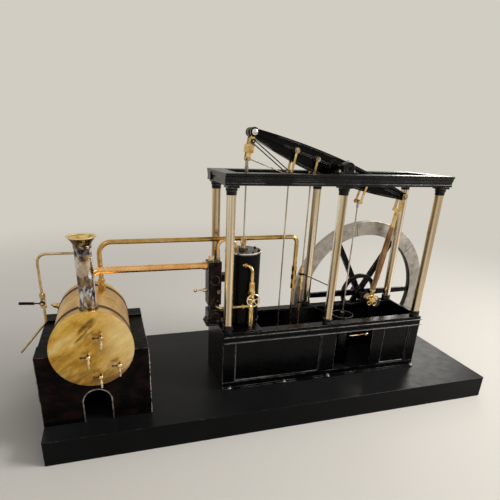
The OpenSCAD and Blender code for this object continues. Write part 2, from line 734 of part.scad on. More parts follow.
// Outline of the beam in its own plane, made a little smaller by the inset
function beam_h(u, mid) = beam_end_h + (mid - beam_end_h) * (1 - u * u / (beam_arm * beam_arm));
beam_steps = 8;
beam_us = [for (i = [-beam_steps:beam_steps]) i * beam_arm / beam_steps];
module beam_outline(inset) {
    polygon(concat([for (u = beam_us) [u, beam_h(u, beam_top_h) - inset]],
        [for (i = [len(beam_us) - 1:-1:0]) [beam_us[i], -beam_h(beam_us[i], beam_low_h) + inset]]));
}

// Draws what follows in the beam's own plane, with x along the beam
module in_beam() {
    translate([pivot_x, mid_y, pivot_z]) rotate([0, beam_tilt, 0]) rotate([90, 0, 0]) children();
}

module beam() color([0.05, 0.05, 0.05]) placed() in_beam() {
    translate([0, 0, -beam_w / 2]) linear_extrude(beam_w) difference() {
        beam_outline(0);
        beam_outline(3);
    }
    translate([0, 0, -beam_w / 4]) linear_extrude(beam_w / 2) beam_outline(1);
    translate([-beam_arm, -1.5, -beam_w / 2]) cube([2 * beam_arm, 3, beam_w]);
    translate([-1.5, -beam_low_h + 1, -beam_w / 2]) cube([3, beam_top_h + beam_low_h - 2, beam_w]);
    for (u = [-beam_arm, beam_arm]) translate([u, 0, -beam_w / 2]) cylinder(h = beam_w, d = 16);
    for (u = [-pump_arm, -feed_arm, air_arm])
        translate([u, 0, -beam_w / 2]) cylinder(h = beam_w, d = 10);
    translate([0, 0, -beam_w / 2 - 4]) cylinder(h = beam_w + 8, d = trunnion_d + 16);
    half = (column_ys[1] - column_ys[0]) / 2 + 9;
    translate([0, 0, -half]) cylinder(h = 2 * half, d = trunnion_d);
}

// The pins of the links, on both sides of the beam, each with a washer outside
module beam_pins() color([0.75, 0.68, 0.5]) placed() in_beam()
    for (pin = [[-beam_arm, strap_out + 1.5, 16], [-pump_arm, strap_out + 1, 10],
            [-feed_arm, strap_out + 1, 9], [air_arm, strap_out + 1, 10], [beam_arm, strap_out + 1, 12]])
        for (s = [0, 1]) mirror([0, 0, s]) translate([pin[0], 0, half_beam]) {
            cylinder(h = pin[1] - half_beam, d = pin_d);
            translate([0, 0, pin[1] - half_beam]) cylinder(h = 1.5, d = pin[2]);
            translate([0, 0, pin[1] - half_beam]) cylinder(h = 3, d = pin_d);
        }

// Draws what follows hung from a pin, with z down the link turned by its lean
module hung(p, lean) { translate([p[0], mid_y, p[1]]) rotate([0, lean, 0]) children(); }

// A strap of a link: two eyes joined by a flat bar, hanging from its pin
module strap(y, l, eye, w) {
    difference() {
        union() {
            bar_y(0, y, y + strap_link_t, 0, eye);
            translate([-w / 2, y, -l]) cube([w, strap_link_t, l]);
        }
        bar_y(0, y - eps, y + strap_link_t + eps, 0, pin_d + 2 * turn_gap);
    }
}

module main_link() color([0.82, 0.64, 0.3]) placed() hung(left_pin, main_lean) {
    block_top = 21;
    block_end = 34;
    for (y = [-strap_out, strap_y]) strap(y, block_top + 1, 12, 7);
    translate([-6, -strap_out, -block_end]) cube([12, 2 * strap_out, block_end - block_top]);
    cheek = half_beam - tongue - wall_gap;
    for (y = [-half_beam, half_beam - cheek]) {
        bar_y(0, y, y + cheek, -main_link_l, 8);
        translate([-4, y, -main_link_l]) cube([8, cheek, main_link_l - block_end + 1]);
    }
    bar_y(0, -side_bar_y - bar_t - 0.5, -half_beam + eps, -main_link_l, 3);
    bar_y(0, -rods_y - 2.5, -strap_out + eps, -rods_drop, 3);
}

rods_root = foot(left_pin, rods_drop, main_lean);
module radius_rods() color([0.06, 0.06, 0.06]) placed() {
    l = norm(pump_foot - rods_root);
    fall = atan2(rods_root[1] - pump_foot[1], pump_foot[0] - rods_root[0]);
    translate([rods_root[0], mid_y, rods_root[1]]) rotate([0, fall, 0]) difference() {
        union() {
            for (x = [0, l]) bar_y(x, -rods_y - 2, -rods_y, 0, 8);
            for (z = [-rods_apart, rods_apart]) bar_x(0, l, -rods_y - 1, z, 2);
        }
        bar_y(0, -rods_y - 2 - eps, -rods_y + eps, 0, 3 + 2 * turn_gap);
    }
}

module parallel_bar() color([0.72, 0.6, 0.35]) placed() {
    l = norm(pump_foot - main_foot);
    fall = atan2(main_foot[1] - pump_foot[1], pump_foot[0] - main_foot[0]);
    translate([main_foot[0], mid_y, main_foot[1]]) rotate([0, fall, 0]) difference() {
        union() {
            bar_y(0, -side_bar_y - bar_t, -side_bar_y, 0, 6.5);
            bar_x(0, l, -side_bar_y - bar_t / 2, 0, bar_t);
            bar_y(l, -side_bar_y - bar_t, -side_bar_y, 0, 5);
        }
        bar_y(0, -side_bar_y - bar_t - eps, -side_bar_y + eps, 0, 3 + 2 * turn_gap);
    }
}

// The rod's eye, the rod and the piston inside the cylinder
module piston_rod() color([0.78, 0.66, 0.42]) placed() {
    x = cylinder_x;
    z = main_foot[1];
    piston_z = cylinder_top - 100;
    bar_y(x, mid_y - tongue, mid_y + tongue, z, 8);
    bar_z(x, mid_y, z - 14, z, 5.6);
    bar_z(x, mid_y, z - 24, z - 13, 7);
    bar_z(x, mid_y, piston_z, z - 12, piston_rod_d);
    bar_z(x, mid_y, piston_z, piston_z + 12, cylinder_d - 2 * cylinder_t - 2 * wall_gap);
}

// A pump's link: two straps with short studs that face the eye of the pump rod
module pump_link(p, l, lean) {
    hung(p, lean) for (s = [0, 1]) mirror([0, s, 0]) {
        strap(strap_y, l, 9, 4);
        bar_y(0, strap_y, strap_out, -l, 8);
        bar_y(0, tongue + wall_gap, strap_y + eps, -l, 4);
    }
}

module injection_pump_link() color([0.8, 0.64, 0.32]) placed() pump_link(pump_pin, main_link_l, main_lean);
module feed_pump_link() color([0.8, 0.64, 0.32]) placed() pump_link(feed_pin, feed_link_l, feed_lean);
module air_pump_link() color([0.8, 0.64, 0.32]) placed() pump_link(air_pin, air_link_l, air_lean);

// A pump rod with its eye, down to the given height
module pump_rod(p, low) {
    bar_y(p[0], mid_y - tongue, mid_y + tongue, p[1], 8);
    bar_z(p[0], mid_y, p[1] - 12, p[1], 5);
    bar_z(p[0], mid_y, low, p[1] - 2, pump_rod_d);
}

module injection_pump_rod() color([0.75, 0.62, 0.38]) placed() pump_rod(pump_foot, 45);
module feed_pump_rod() color([0.75, 0.62, 0.38]) placed() pump_rod(feed_foot, 140);
module air_pump_rod() color([0.75, 0.62, 0.38]) placed() {
    bucket_z = air_pump_h - 29;
    pump_rod(air_foot, bucket_z);
    bar_z(air_foot[0], mid_y, bucket_z, bucket_z + 6, air_pump_d - 2 * air_pump_t - 2 * wall_gap);
    bar_z(air_foot[0], mid_y, bucket_z, bucket_z + 34, 8);
}

// The copper connecting rod, thick in its middle
rod_top = 64;
rod_low = 22;
module connecting_rod() color([0.55, 0.33, 0.2]) placed() hung(right_pin, rod_lean)
    rotate_extrude() polygon([[0, -rod_top], [4.5, -rod_top], [5, -rod_top - 6], [6.3, -rod_top - 50],
        [6.5, -rod_top - 75], [6, -rod_top - 110], [5, -rod_l + rod_low + 5], [5, -rod_l + rod_low],
        [0, -rod_l + rod_low]]);

module connecting_rod_ends() color([0.85, 0.68, 0.35]) placed() hung(right_pin, rod_lean) {
    for (y = [-strap_out, strap_y]) strap(y, 27, 11, 6);
    translate([-4, -strap_out, -31]) cube([8, 2 * strap_out, 6]);
    bar_z(0, 0, -rod_top, -30, 7.6);
    bar_z(0, 0, -rod_top, -rod_top + 4, 11.5);
    bar_z(0, 0, -rod_l, -rod_l + rod_low, 8);
    bar_z(0, 0, -rod_l + rod_low - 3, -rod_l + rod_low, 12);
    bar_y(0, -half_eye, half_eye, -rod_l, 16);
    bar_y(0, -half_eye - 3, web_y - wall_gap, -rod_l, 9);
    translate([0, -half_eye - 5, -rod_l]) for (i = [0:3]) rotate([0, 45 + i * 90, 0])
        translate([0, 0, 9.5]) rotate([90, 0, 0]) rotate_extrude() translate([4.6, 0]) circle(d = 2.6);
    bar_y(0, -half_eye - 7, -half_eye - 2, -rod_l, 10);
}

// A crank web: a boss on the shaft and one at the pin
module crank_web(y) {
    translate([crank_x, mid_y, shaft_z]) rotate([0, -crank_turn, 0]) {
        bar_y(0, y, y + web_t, 0, crankshaft_d + 10);
        bar_y(crank_throw, y, y + web_t, 0, 16);
        translate([0, y, -7]) cube([crank_throw, web_t, 14]);
    }
}

module crankshaft() color([0.62, 0.64, 0.66]) placed() {
    crank_web(web_y);
    bar_y(crank_x, mid_y + web_y, flywheel_y + rim_w + 8, shaft_z, crankshaft_d);
    bar_y(crank_x, column_ys[1] - 14, column_ys[1] - 8, shaft_z, crankshaft_d + 8);
    bar_y(crank_x, column_ys[1] - 20, column_ys[1] - 16, shaft_z, crankshaft_d + 11);
    bar_y(crank_x, column_ys[1] - 20, column_ys[1] - 8, shaft_z, crankshaft_d + 4);
}

module on_flywheel() { translate([crank_x, flywheel_y + rim_w / 2, shaft_z]) rotate([90, 0, 0]) children(); }

module flywheel_rim() color([0.6, 0.58, 0.55]) placed() on_flywheel() rotate_extrude($fn = 96)
    translate([flywheel_r - rim_depth, -rim_w / 2]) square([rim_depth, rim_w]);

spoke_count = 6;
ring_r = 46;
spoke_w = 14;
module flywheel_spokes() color([0.05, 0.05, 0.05]) placed() on_flywheel()
    for (i = [0:spoke_count - 1]) rotate([0, 0, i * 360 / spoke_count]) translate([0, 0, -3])
        linear_extrude(6) polygon([[ring_r + seat_gap, -spoke_w / 2], [flywheel_r - rim_depth - 0.3, -5.5],
            [flywheel_r - rim_depth - 0.3, 5.5], [ring_r + seat_gap, spoke_w / 2]]);

// The hub with its ring and the short arms between them
module flywheel_hub() color([0.05, 0.05, 0.05]) placed() on_flywheel() difference() {
    union() {
        translate([0, 0, -rim_w / 2 - 6]) cylinder(h = rim_w + 12, d = 30);
        translate([0, 0, -4]) linear_extrude(8) difference() {
            circle(r = ring_r);
            circle(r = ring_r - 9);
        }
        for (i = [0:spoke_count - 1]) rotate([0, 0, i * 360 / spoke_count])
            translate([10, -spoke_w / 2, -3]) cube([ring_r - 15, spoke_w, 6]);
    }
    translate([0, 0, -rim_w]) cylinder(h = 2 * rim_w, d = crankshaft_d + 2 * seat_gap);
}

plinth();
setting_end_walls();
setting_side_walls();
fire_arch_trim();
boiler_shell();
boiler_end_plates();
boiler_straps();
boiler_fittings();
chimney_tube();
chimney_fittings();
drain_pipe();
drain_lever();
water_pipe();
steam_pipes();
valve_chest();
chest_fittings();
cylinder_barrel();
cylinder_cover();
injection_pipe();
injection_handwheel();
bed_front_rails();
bed_front_posts();
bed_front_panels();
bed_back_wall();
bed_end_walls();
deck_plate();
columns();
column_fittings();
entablature_sides();
entablature_ends();
shaft_bearings();
air_pump();
feed_pumps();
guide_stays();
beam();
beam_pins();
main_link();
radius_rods();
parallel_bar();
piston_rod();
injection_pump_link();
injection_pump_rod();
feed_pump_link();
feed_pump_rod();
air_pump_link();
air_pump_rod();
connecting_rod();
connecting_rod_ends();
crankshaft();
flywheel_rim();
flywheel_spokes();
flywheel_hub();
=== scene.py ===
import math

import bpy
from mathutils import Matrix, Vector


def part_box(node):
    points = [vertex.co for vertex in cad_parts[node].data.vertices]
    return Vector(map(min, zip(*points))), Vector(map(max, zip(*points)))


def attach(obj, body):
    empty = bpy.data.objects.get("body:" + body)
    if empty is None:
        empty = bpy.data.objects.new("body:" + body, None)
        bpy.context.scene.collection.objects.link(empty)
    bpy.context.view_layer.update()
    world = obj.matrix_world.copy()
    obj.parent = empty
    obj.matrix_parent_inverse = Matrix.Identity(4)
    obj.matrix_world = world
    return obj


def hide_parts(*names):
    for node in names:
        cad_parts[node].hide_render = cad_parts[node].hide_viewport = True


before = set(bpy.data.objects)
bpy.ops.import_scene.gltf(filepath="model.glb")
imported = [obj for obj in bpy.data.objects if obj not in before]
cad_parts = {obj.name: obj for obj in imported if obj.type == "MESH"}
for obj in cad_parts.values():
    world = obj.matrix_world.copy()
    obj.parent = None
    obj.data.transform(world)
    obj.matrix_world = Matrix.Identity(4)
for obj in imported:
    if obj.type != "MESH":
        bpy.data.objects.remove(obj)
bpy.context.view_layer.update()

bpy.ops.object.select_all(action="DESELECT")

# Camera.
# It stands to the left of the boiler's front, a little above the entablature, and looks along the
# engine. Its shift keeps the columns as the photograph's lens shows them.
camera_data = bpy.data.cameras.new("camera")
camera_data.lens = 30.03
camera_data.sensor_width = 36
camera_data.shift_x = 0.02502
camera_data.shift_y = 0.1299
camera_data.clip_start = 0.02
camera = bpy.data.objects.new("camera", camera_data)
camera.location = (-0.31611, -0.79336, 0.50713)
camera.rotation_euler = (1.1791, -0.0348, -0.2900)
bpy.context.collection.objects.link(camera)
bpy.context.scene.camera = camera
bpy.context.scene.view_settings.view_transform = "Standard"

# Floor and light.
# A pale floor, the colour of cloth, that fades into an even backdrop of the same tone. The room is
# bright on the right and dim on the left, and a broad lamp on the right stands in for its window.
CLOTH = (0.64, 0.61, 0.54, 1)
FLOOR_SIDE = 60
FADE_START, FADE_END = 0.55, 2.2


def seen_or_mirrored(tree):
    """One where the camera, a gloss or a clear piece looks, and nought for the light itself."""
    path = tree.nodes.new("ShaderNodeLightPath")
    total = path.outputs["Is Camera Ray"]
    for ray in ("Is Glossy Ray", "Is Transmission Ray"):
        either_ray = tree.nodes.new("ShaderNodeMath")
        either_ray.operation = "MAXIMUM"
        tree.links.new(total, either_ray.inputs[0])
        tree.links.new(path.outputs[ray], either_ray.inputs[1])
        total = either_ray.outputs["Value"]
    return total


bpy.ops.mesh.primitive_plane_add(size=1, location=(0, 0, 0))
floor = bpy.context.object
floor.name = "floor"
floor.scale = (FLOOR_SIDE, FLOOR_SIDE, 1)
bpy.ops.object.transform_apply(location=True, rotation=False, scale=True)
floor_paint = bpy.data.materials.new("pale floor")
floor_paint.use_nodes = True
floor_tree = floor_paint.node_tree
floor_shader = floor_tree.nodes["Principled BSDF"]
floor_shader.inputs["Base Color"].default_value = (0.58, 0.56, 0.525, 1)
floor_shader.inputs["Roughness"].default_value = 0.9
floor_shader.inputs["Specular IOR Level"].default_value = 0.1
far_glow = floor_tree.nodes.new("ShaderNodeEmission")
far_glow.inputs["Color"].default_value = CLOTH
floor_place = floor_tree.nodes.new("ShaderNodeTexCoord")
reach = floor_tree.nodes.new("ShaderNodeVectorMath")
reach.operation = "LENGTH"
fade = floor_tree.nodes.new("ShaderNodeMapRange")
fade.interpolation_type = "SMOOTHSTEP"
fade.inputs["From Min"].default_value = FADE_START
fade.inputs["From Max"].default_value = FADE_END
far_mix = floor_tree.nodes.new("ShaderNodeMixShader")
floor_tree.links.new(floor_place.outputs["Object"], reach.inputs[0])
floor_tree.links.new(reach.outputs["Value"], fade.inputs["Value"])
far_only = floor_tree.nodes.new("ShaderNodeMath")
far_only.operation = "MULTIPLY"
floor_tree.links.new(fade.outputs["Result"], far_only.inputs[0])
floor_tree.links.new(seen_or_mirrored(floor_tree), far_only.inputs[1])
floor_tree.links.new(far_only.outputs["Value"], far_mix.inputs["Fac"])
floor_tree.links.new(floor_shader.outputs["BSDF"], far_mix.inputs[1])
floor_tree.links.new(far_glow.outputs["Emission"], far_mix.inputs[2])
floor_tree.links.new(far_mix.outputs["Shader"], floor_tree.nodes["Material Output"].inputs["Surface"])
floor.data.materials.append(floor_paint)

TO_WINDOW = Vector((0.76, -0.30, 0.58))
ROOM_LEVELS = ((0.0, 0.06), (0.45, 0.16), (0.72, 0.42), (1.0, 1.0))
world = bpy.data.worlds.new("studio")
bpy.context.scene.world = world
world.use_nodes = True
world_tree = world.node_tree
room = world_tree.nodes["Background"]
room.inputs["Strength"].default_value = 1.0
towards = world_tree.nodes.new("ShaderNodeTexCoord")
window_side = world_tree.nodes.new("ShaderNodeVectorMath")
window_side.operation = "DOT_PRODUCT"
window_side.inputs[1].default_value = TO_WINDOW.normalized()
room_light = world_tree.nodes.new("ShaderNodeMapRange")
room_light.inputs["From Min"].default_value = -1.0
room_light.inputs["From Max"].default_value = 1.0
room_tone = world_tree.nodes.new("ShaderNodeValToRGB")
for position, level in ROOM_LEVELS:
    step = room_tone.color_ramp.elements.new(position)
    step.color = (level, level * 0.975, level * 0.93, 1)
room_tone.color_ramp.elements.remove(room_tone.color_ramp.elements[0])
room_tone.color_ramp.elements.remove(room_tone.color_ramp.elements[-1])
world_tree.links.new(towards.outputs["Generated"], window_side.inputs[0])
world_tree.links.new(window_side.outputs["Value"], room_light.inputs["Value"])
world_tree.links.new(room_light.outputs["Result"], room_tone.inputs["Fac"])
world_tree.links.new(room_tone.outputs["Color"], room.inputs["Color"])
backdrop = world_tree.nodes.new("ShaderNodeBackground")
backdrop.inputs["Color"].default_value = CLOTH
either = world_tree.nodes.new("ShaderNodeMixShader")
world_tree.links.new(seen_or_mirrored(world_tree), either.inputs["Fac"])
world_tree.links.new(room.outputs["Background"], either.inputs[1])
world_tree.links.new(backdrop.outputs["Background"], either.inputs[2])
world_tree.links.new(either.outputs["Shader"], world_tree.nodes["World Output"].inputs["Surface"])

LAMP_WHITE = (1.0, 0.97, 0.92)
for name, place, aim, size, watts in (
        ("window light", (1.65, -0.85, 1.40), (0.1, 0, 0.2), 0.9, 48),
        ("front fill", (-1.2, -1.6, 1.7), (-0.2, 0, 0.2), 0.8, 5),
        ("corner light", (1.55, 1.25, 0.95), (0.2, 0, 0.1), 0.6, 6.5)):
    lamp_data = bpy.data.lights.new(name, "AREA")
    lamp_data.shape = "SQUARE"
    lamp_data.size = size
    lamp_data.energy = watts
    lamp_data.color = LAMP_WHITE
    lamp = bpy.data.objects.new(name, lamp_data)
    lamp.location = place
    lamp.rotation_euler = (Vector(aim) - Vector(place)).to_track_quat("-Z", "Y").to_euler()
    bpy.context.collection.objects.link(lamp)


# Plinth.
# One thick board, painted slate black, with a soft sheen and worn corners that carry a painted edge
# highlight too. Its top is painted lighter, partly as a little dust and partly as a painted sheen. It
# has a pit for the flywheel, sawn right through behind the bed.
def paint(name, base, rough, metal=0.0, specular=0.5):
    """A material with its Principled shader, ready for its patterns."""
    material = bpy.data.materials.new(name)
    material.use_nodes = True
    shader = material.node_tree.nodes["Principled BSDF"]
    shader.inputs["Base Color"].default_value = (*base, 1)
    shader.inputs["Roughness"].default_value = rough
    shader.inputs["Metallic"].default_value = metal
    shader.inputs["Specular IOR Level"].default_value = specular
    return material


def object_noise(material, scale, detail=4.0, stretch=(1, 1, 1), roughness=0.55, slant=0.0):
    """Noise over the piece's own coordinates, in metres, its grain slanted in the upright plane."""
    tree = material.node_tree
    place = tree.nodes.new("ShaderNodeTexCoord")
    turn = tree.nodes.new("ShaderNodeMapping")
    turn.vector_type = "TEXTURE"
    turn.inputs["Scale"].default_value = [1 / s for s in stretch]
    turn.inputs["Rotation"].default_value = (0, slant, 0)
    noise = tree.nodes.new("ShaderNodeTexNoise")
    noise.inputs["Scale"].default_value = scale
    noise.inputs["Detail"].default_value = detail
    noise.inputs["Roughness"].default_value = roughness
    tree.links.new(place.outputs["Object"], turn.inputs["Vector"])
    tree.links.new(turn.outputs["Vector"], noise.inputs["Vector"])
    return noise.outputs["Fac"]


def colour_steps(material, factor, steps, socket="Base Color"):
    """Colours or grey levels along a factor, wired to one of the shader's sockets."""
    tree = material.node_tree
    ramp = tree.nodes.new("ShaderNodeValToRGB")
    ramp.color_ramp.elements[0].position = steps[0][0]
    ramp.color_ramp.elements[1].position = steps[-1][0]
    for step in steps[1:-1]:
        ramp.color_ramp.elements.new(step[0])
    for element, step in zip(ramp.color_ramp.elements, steps):
        element.color = (*step[1], 1)
    tree.links.new(factor, ramp.inputs["Fac"])
    if socket:
        tree.links.new(ramp.outputs["Color"], tree.nodes["Principled BSDF"].inputs[socket])
    return ramp.outputs["Color"]


def rough_steps(material, factor, low, high):
    """Roughness between two levels as the factor goes from dark to light."""
    colour_steps(material, factor, ((0.3, (low,) * 3), (0.7, (high,) * 3)), "Roughness")


def dents(material, height, strength, distance):
    """A bump from a height, wired to the shader's normal."""
    tree = material.node_tree
    bump = tree.nodes.new("ShaderNodeBump")
    bump.inputs["Strength"].default_value = strength
    bump.inputs["Distance"].default_value = distance
    tree.links.new(height, bump.inputs["Height"])
    tree.links.new(bump.outputs["Normal"], tree.nodes["Principled BSDF"].inputs["Normal"])


def sums(material, operation, first, second=None):
    """One step of arithmetic between node outputs or numbers."""
    tree = material.node_tree
    step = tree.nodes.new("ShaderNodeMath")
    step.operation = operation
    for slot_number, value in enumerate((first, second)):
        if isinstance(value, (int, float)):
            step.inputs[slot_number].default_value = value
        elif value is not None:
            tree.links.new(value, step.inputs[slot_number])
    return step.outputs["Value"]


def blend_colour(material, factor, below, above):
    """Mixes a second colour over the first one by a factor and wires it to the base colour."""
    tree = material.node_tree
    mix = tree.nodes.new("ShaderNodeMix")
    mix.data_type = "RGBA"
    tree.links.new(factor, mix.inputs["Factor"])
    tree.links.new(below, mix.inputs["A"])
    if isinstance(above, tuple):
        mix.inputs["B"].default_value = (*above, 1)
    else:
        tree.links.new(above, mix.inputs["B"])
    tree.links.new(mix.outputs["Result"], tree.nodes["Principled BSDF"].inputs["Base Color"])
    return mix.outputs["Result"]


def level_between(material, value, start, end, most=1.0, ease="LINEAR"):
    """A level that rises from nought to most while the value goes from start to end."""
    tree = material.node_tree
    level = tree.nodes.new("ShaderNodeMapRange")
    level.interpolation_type = ease
    level.inputs["From Min"].default_value = start
    level.inputs["From Max"].default_value = end
    level.inputs["To Max"].default_value = most
    tree.links.new(value, level.inputs["Value"])
    return level.outputs["Result"]


FLAT, TURNED_AWAY = 0.985, 0.86
PATCH_BLUR = 0.12


def worn_and_highlit_edges(material, below, rubbed, radius, grit, least=0.46):
    """Paints a lighter colour along the piece's edges, broken up by noise: partly paint rubbed through,
    partly a painted edge highlight. The rubbed colour is that edge tone.
    """
    tree = material.node_tree
    rounded = tree.nodes.new("ShaderNodeBevel")
    rounded.samples = 4
    rounded.inputs["Radius"].default_value = radius
    shape = tree.nodes.new("ShaderNodeNewGeometry")
    near = tree.nodes.new("ShaderNodeVectorMath")
    near.operation = "DOT_PRODUCT"
    tree.links.new(rounded.outputs["Normal"], near.inputs[0])
    tree.links.new(shape.outputs["Normal"], near.inputs[1])
    edge = level_between(material, near.outputs["Value"], FLAT, TURNED_AWAY)
    patches = level_between(material, object_noise(material, grit, 5), least, least + PATCH_BLUR)
    return blend_colour(material, sums(material, "MULTIPLY", edge, patches), below, rubbed)


SAME_POINT = 0.00001
SHARP = math.radians(40)


def coat(node, material, edge=0.0):
    """Gives a CAD node its finish and, where edge is given, slightly rounded edges."""
    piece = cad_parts[node]
    piece.data.materials.clear()
    piece.data.materials.append(material)
    if edge:
        joined = piece.modifiers.new("joined", "WELD")
        joined.merge_threshold = SAME_POINT
        rounded = piece.modifiers.new("rounded", "BEVEL")
        rounded.width = edge
        rounded.segments = 2
        rounded.limit_method = "ANGLE"
        rounded.angle_limit = SHARP
        rounded.harden_normals = False


board_low, board_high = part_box("plinth")


def at(x, y, z):
    """A place in millimetres from the board's top front left corner, in the frame's metres."""
    return Vector((board_low[0] + x / 1000, board_low[1] + y / 1000, board_high[2] + z / 1000))


board_paint = paint("slate board paint", (0.002, 0.0022, 0.0027), 0.28, specular=0.09)
board_colour = colour_steps(board_paint, object_noise(board_paint, 14, 6),
                            ((0.3, (0.0012, 0.0013, 0.0016)), (0.7, (0.0026, 0.0028, 0.0034))))
board_tree = board_paint.node_tree
# Upward faces are painted lighter in patches: partly dust, partly a painted sheen on the top.
board_faces = board_tree.nodes.new("ShaderNodeNewGeometry")
facing = board_tree.nodes.new("ShaderNodeSeparateXYZ")
board_tree.links.new(board_faces.outputs["Normal"], facing.inputs["Vector"])
facing_up = sums(board_paint, "MAXIMUM", facing.outputs["Z"], 0)
dust_and_sheen = sums(board_paint, "MULTIPLY", facing_up, object_noise(board_paint, 9, 6))
dust_and_sheen_colour = blend_colour(board_paint, dust_and_sheen, board_colour, (0.0135, 0.014, 0.0145))
rough_steps(board_paint, object_noise(board_paint, 60, 6), 0.27, 0.36)
dents(board_paint, object_noise(board_paint, 900, 3), 0.12, 0.00012)
# Edges painted lighter: rubbed wear and a painted highlight.
worn_and_highlit_edges(board_paint, dust_and_sheen_colour, (0.10, 0.10, 0.10), 0.0016, 60, 0.56)
coat("plinth", board_paint, 0.0012)

# Boiler setting.
# Small bricks laid in bond and painted over in sooty black, rubbed to brown and grey along the
# corners, with a painted highlight there as well. The walls behind them show as the joints, and the
# fire arch has a bright metal trim.
def soot_paint(name, dark, light, rubbed, reach, least):
    """Sooty paint over masonry, with corners painted lighter: partly rubbed, partly a painted highlight.
    """
    material = paint(name, dark, 0.5, specular=0.05)
    colour = colour_steps(material, object_noise(material, 34, 7, (1, 1, 1.6)),
                          ((0.46, dark), (0.70, light)))
    rough_steps(material, object_noise(material, 90, 5), 0.3, 0.55)
    dents(material, object_noise(material, 260, 6), 0.3, 0.0006)
    return material, worn_and_highlit_edges(material, colour, rubbed, reach, 110, least)


mortar, _ = soot_paint("sooty mortar", (0.002, 0.0016, 0.0016), (0.009, 0.005, 0.004),
                       (0.36, 0.32, 0.27), 0.0018, 0.44)
for node in ("setting_end_walls", "setting_side_walls"):
    coat(node, mortar, 0.0008)


def pick(piece):
    """Selects one piece and nothing else."""
    bpy.ops.object.select_all(action="DESELECT")
    piece.select_set(True)
    bpy.context.view_layer.objects.active = piece


def finish(piece, material, body, smooth=True):
    """Applies a new piece's place to its mesh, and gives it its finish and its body."""
    pick(piece)
    bpy.ops.object.transform_apply(location=True, rotation=True, scale=True)
    bpy.ops.object.mode_set(mode="EDIT")
    bpy.ops.mesh.select_all(action="SELECT")
    bpy.ops.mesh.normals_make_consistent(inside=False)
    bpy.ops.object.mode_set(mode="OBJECT")
    if smooth:
        bpy.ops.object.shade_smooth_by_angle(angle=SHARP)
    piece.data.materials.clear()
    piece.data.materials.append(material)
    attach(piece, body)
    piece.select_set(False)
    return piece


def join(pieces, name):
    """Joins copies into one piece."""
    pick(pieces[0])
    for piece in pieces[1:]:
        piece.select_set(True)
    bpy.ops.object.join()
    pieces[0].name = name
    return pieces[0]


def block(low, high, edge=0.0):
    """A squared block between two corners, with its edges eased where edge is given."""
    bpy.ops.object.select_all(action="DESELECT")
    bpy.ops.mesh.primitive_cube_add(size=1, location=(Vector(low) + Vector(high)) / 2)
    piece = bpy.context.object
    piece.scale = Vector(high) - Vector(low)
    bpy.ops.object.transform_apply(location=True, rotation=True, scale=True)
    if edge:
        bpy.ops.object.mode_set(mode="EDIT")
        bpy.ops.mesh.select_all(action="SELECT")
        bpy.ops.mesh.bevel(offset=edge, segments=1)
        bpy.ops.object.mode_set(mode="OBJECT")
    return piece


# Millimetres, as laid: a brick's length and height, the joint, and how far it stands out and sits in
BRICK_LONG, BRICK_HIGH, BRICK_JOINT, BRICK_PROUD, BRICK_SUNK = 26.0, 11.0, 0.9, 0.45, 0.3
# The shortest brick at an end, what is left bare there, and what the top course may stand too high
SHORT_END, NO_ROOM, TOP_SLACK = 6, 4, 0.5
# The bricks stand out unevenly by this much, in waves along a course and from course to course
UNEVEN, COURSE_WAVE, BRICK_WAVE = 0.12, 7.3, 3.1
brick_models = {}


def brick(long):
    """One brick face of a given length, modelled once and copied as a mesh."""
    key = round(long, 1)
    if key not in brick_models:
        far = (long / 1000, (BRICK_PROUD + BRICK_SUNK) / 1000, (BRICK_HIGH - BRICK_JOINT) / 1000)
        model = block((0, 0, 0), far, 0.00025)
        brick_models[key] = model.data.copy()
        bpy.data.objects.remove(model)
    copy = bpy.data.objects.new("brick", brick_models[key].copy())
    bpy.context.collection.objects.link(copy)
    return copy


def brick_wall(length, height, matrix):
    """Courses of bricks in bond on one face, from its lower left corner."""
    laid = []
    course = 0
    while (course + 1) * BRICK_HIGH <= height + TOP_SLACK:
        x = 0.0
        first = BRICK_LONG / 2 if course % 2 else BRICK_LONG
        while x < length - NO_ROOM:
            long = min(first, length - x)
            if length - x - long < SHORT_END:
                long = length - x
            piece = brick(long - BRICK_JOINT)
            uneven = UNEVEN * math.sin(COURSE_WAVE * course + BRICK_WAVE * x)
            corner = Vector((x + BRICK_JOINT / 2, uneven - BRICK_SUNK,
                             course * BRICK_HIGH + BRICK_JOINT / 2))
            piece.data.transform(matrix @ Matrix.Translation(corner / 1000))
            laid.append(piece)
            x += long
            first = BRICK_LONG
        course += 1
    return laid


setting_low, setting_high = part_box("setting_end_walls")
side_low, side_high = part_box("setting_side_walls")
setting_l, setting_w, setting_h = (setting_high - setting_low) * 1000
side_h = (side_high[2] - side_low[2]) * 1000
outward = Matrix.Scale(-1, 4, (0, 1, 0))
faces = []
for x, y, turn, length, height in ((setting_low[0], setting_low[1], 0, setting_l, setting_h),
                                   (setting_high[0], setting_high[1], math.pi, setting_l, setting_h),
                                   (setting_low[0], setting_high[1], -math.pi / 2, setting_w, side_h),
                                   (setting_high[0], setting_low[1], math.pi / 2, setting_w, side_h)):
    corner = Matrix.Translation((x, y, setting_low[2])) @ Matrix.Rotation(turn, 4, "Z")
    faces += brick_wall(length, height, corner @ outward)
bricks = join(faces, "setting_bricks")

shell_low, shell_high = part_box("boiler_shell")
drum_middle = (shell_low + shell_high) / 2
drum_r = (shell_high[0] - shell_low[0]) / 2
arch_low, arch_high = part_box("fire_arch_trim")
arch_x = (arch_low[0] + arch_high[0]) / 2
ROUND_ARCH = 0.0003
arch_r = (arch_high[0] - arch_low[0]) / 2 + ROUND_ARCH
spring = arch_high[2] - arch_r


def round_cutter(place, radius, depth):
    """A round bar from front to back, used only to cut."""
    bpy.ops.mesh.primitive_cylinder_add(vertices=96, radius=radius, depth=depth, location=place,
                                        rotation=(math.pi / 2, 0, 0))
    return bpy.context.object


def square_cutter(place, size):
    """A square bar, used only to cut."""
    bpy.ops.mesh.primitive_cube_add(size=1, location=place)
    bpy.context.object.scale = size
    return bpy.context.object


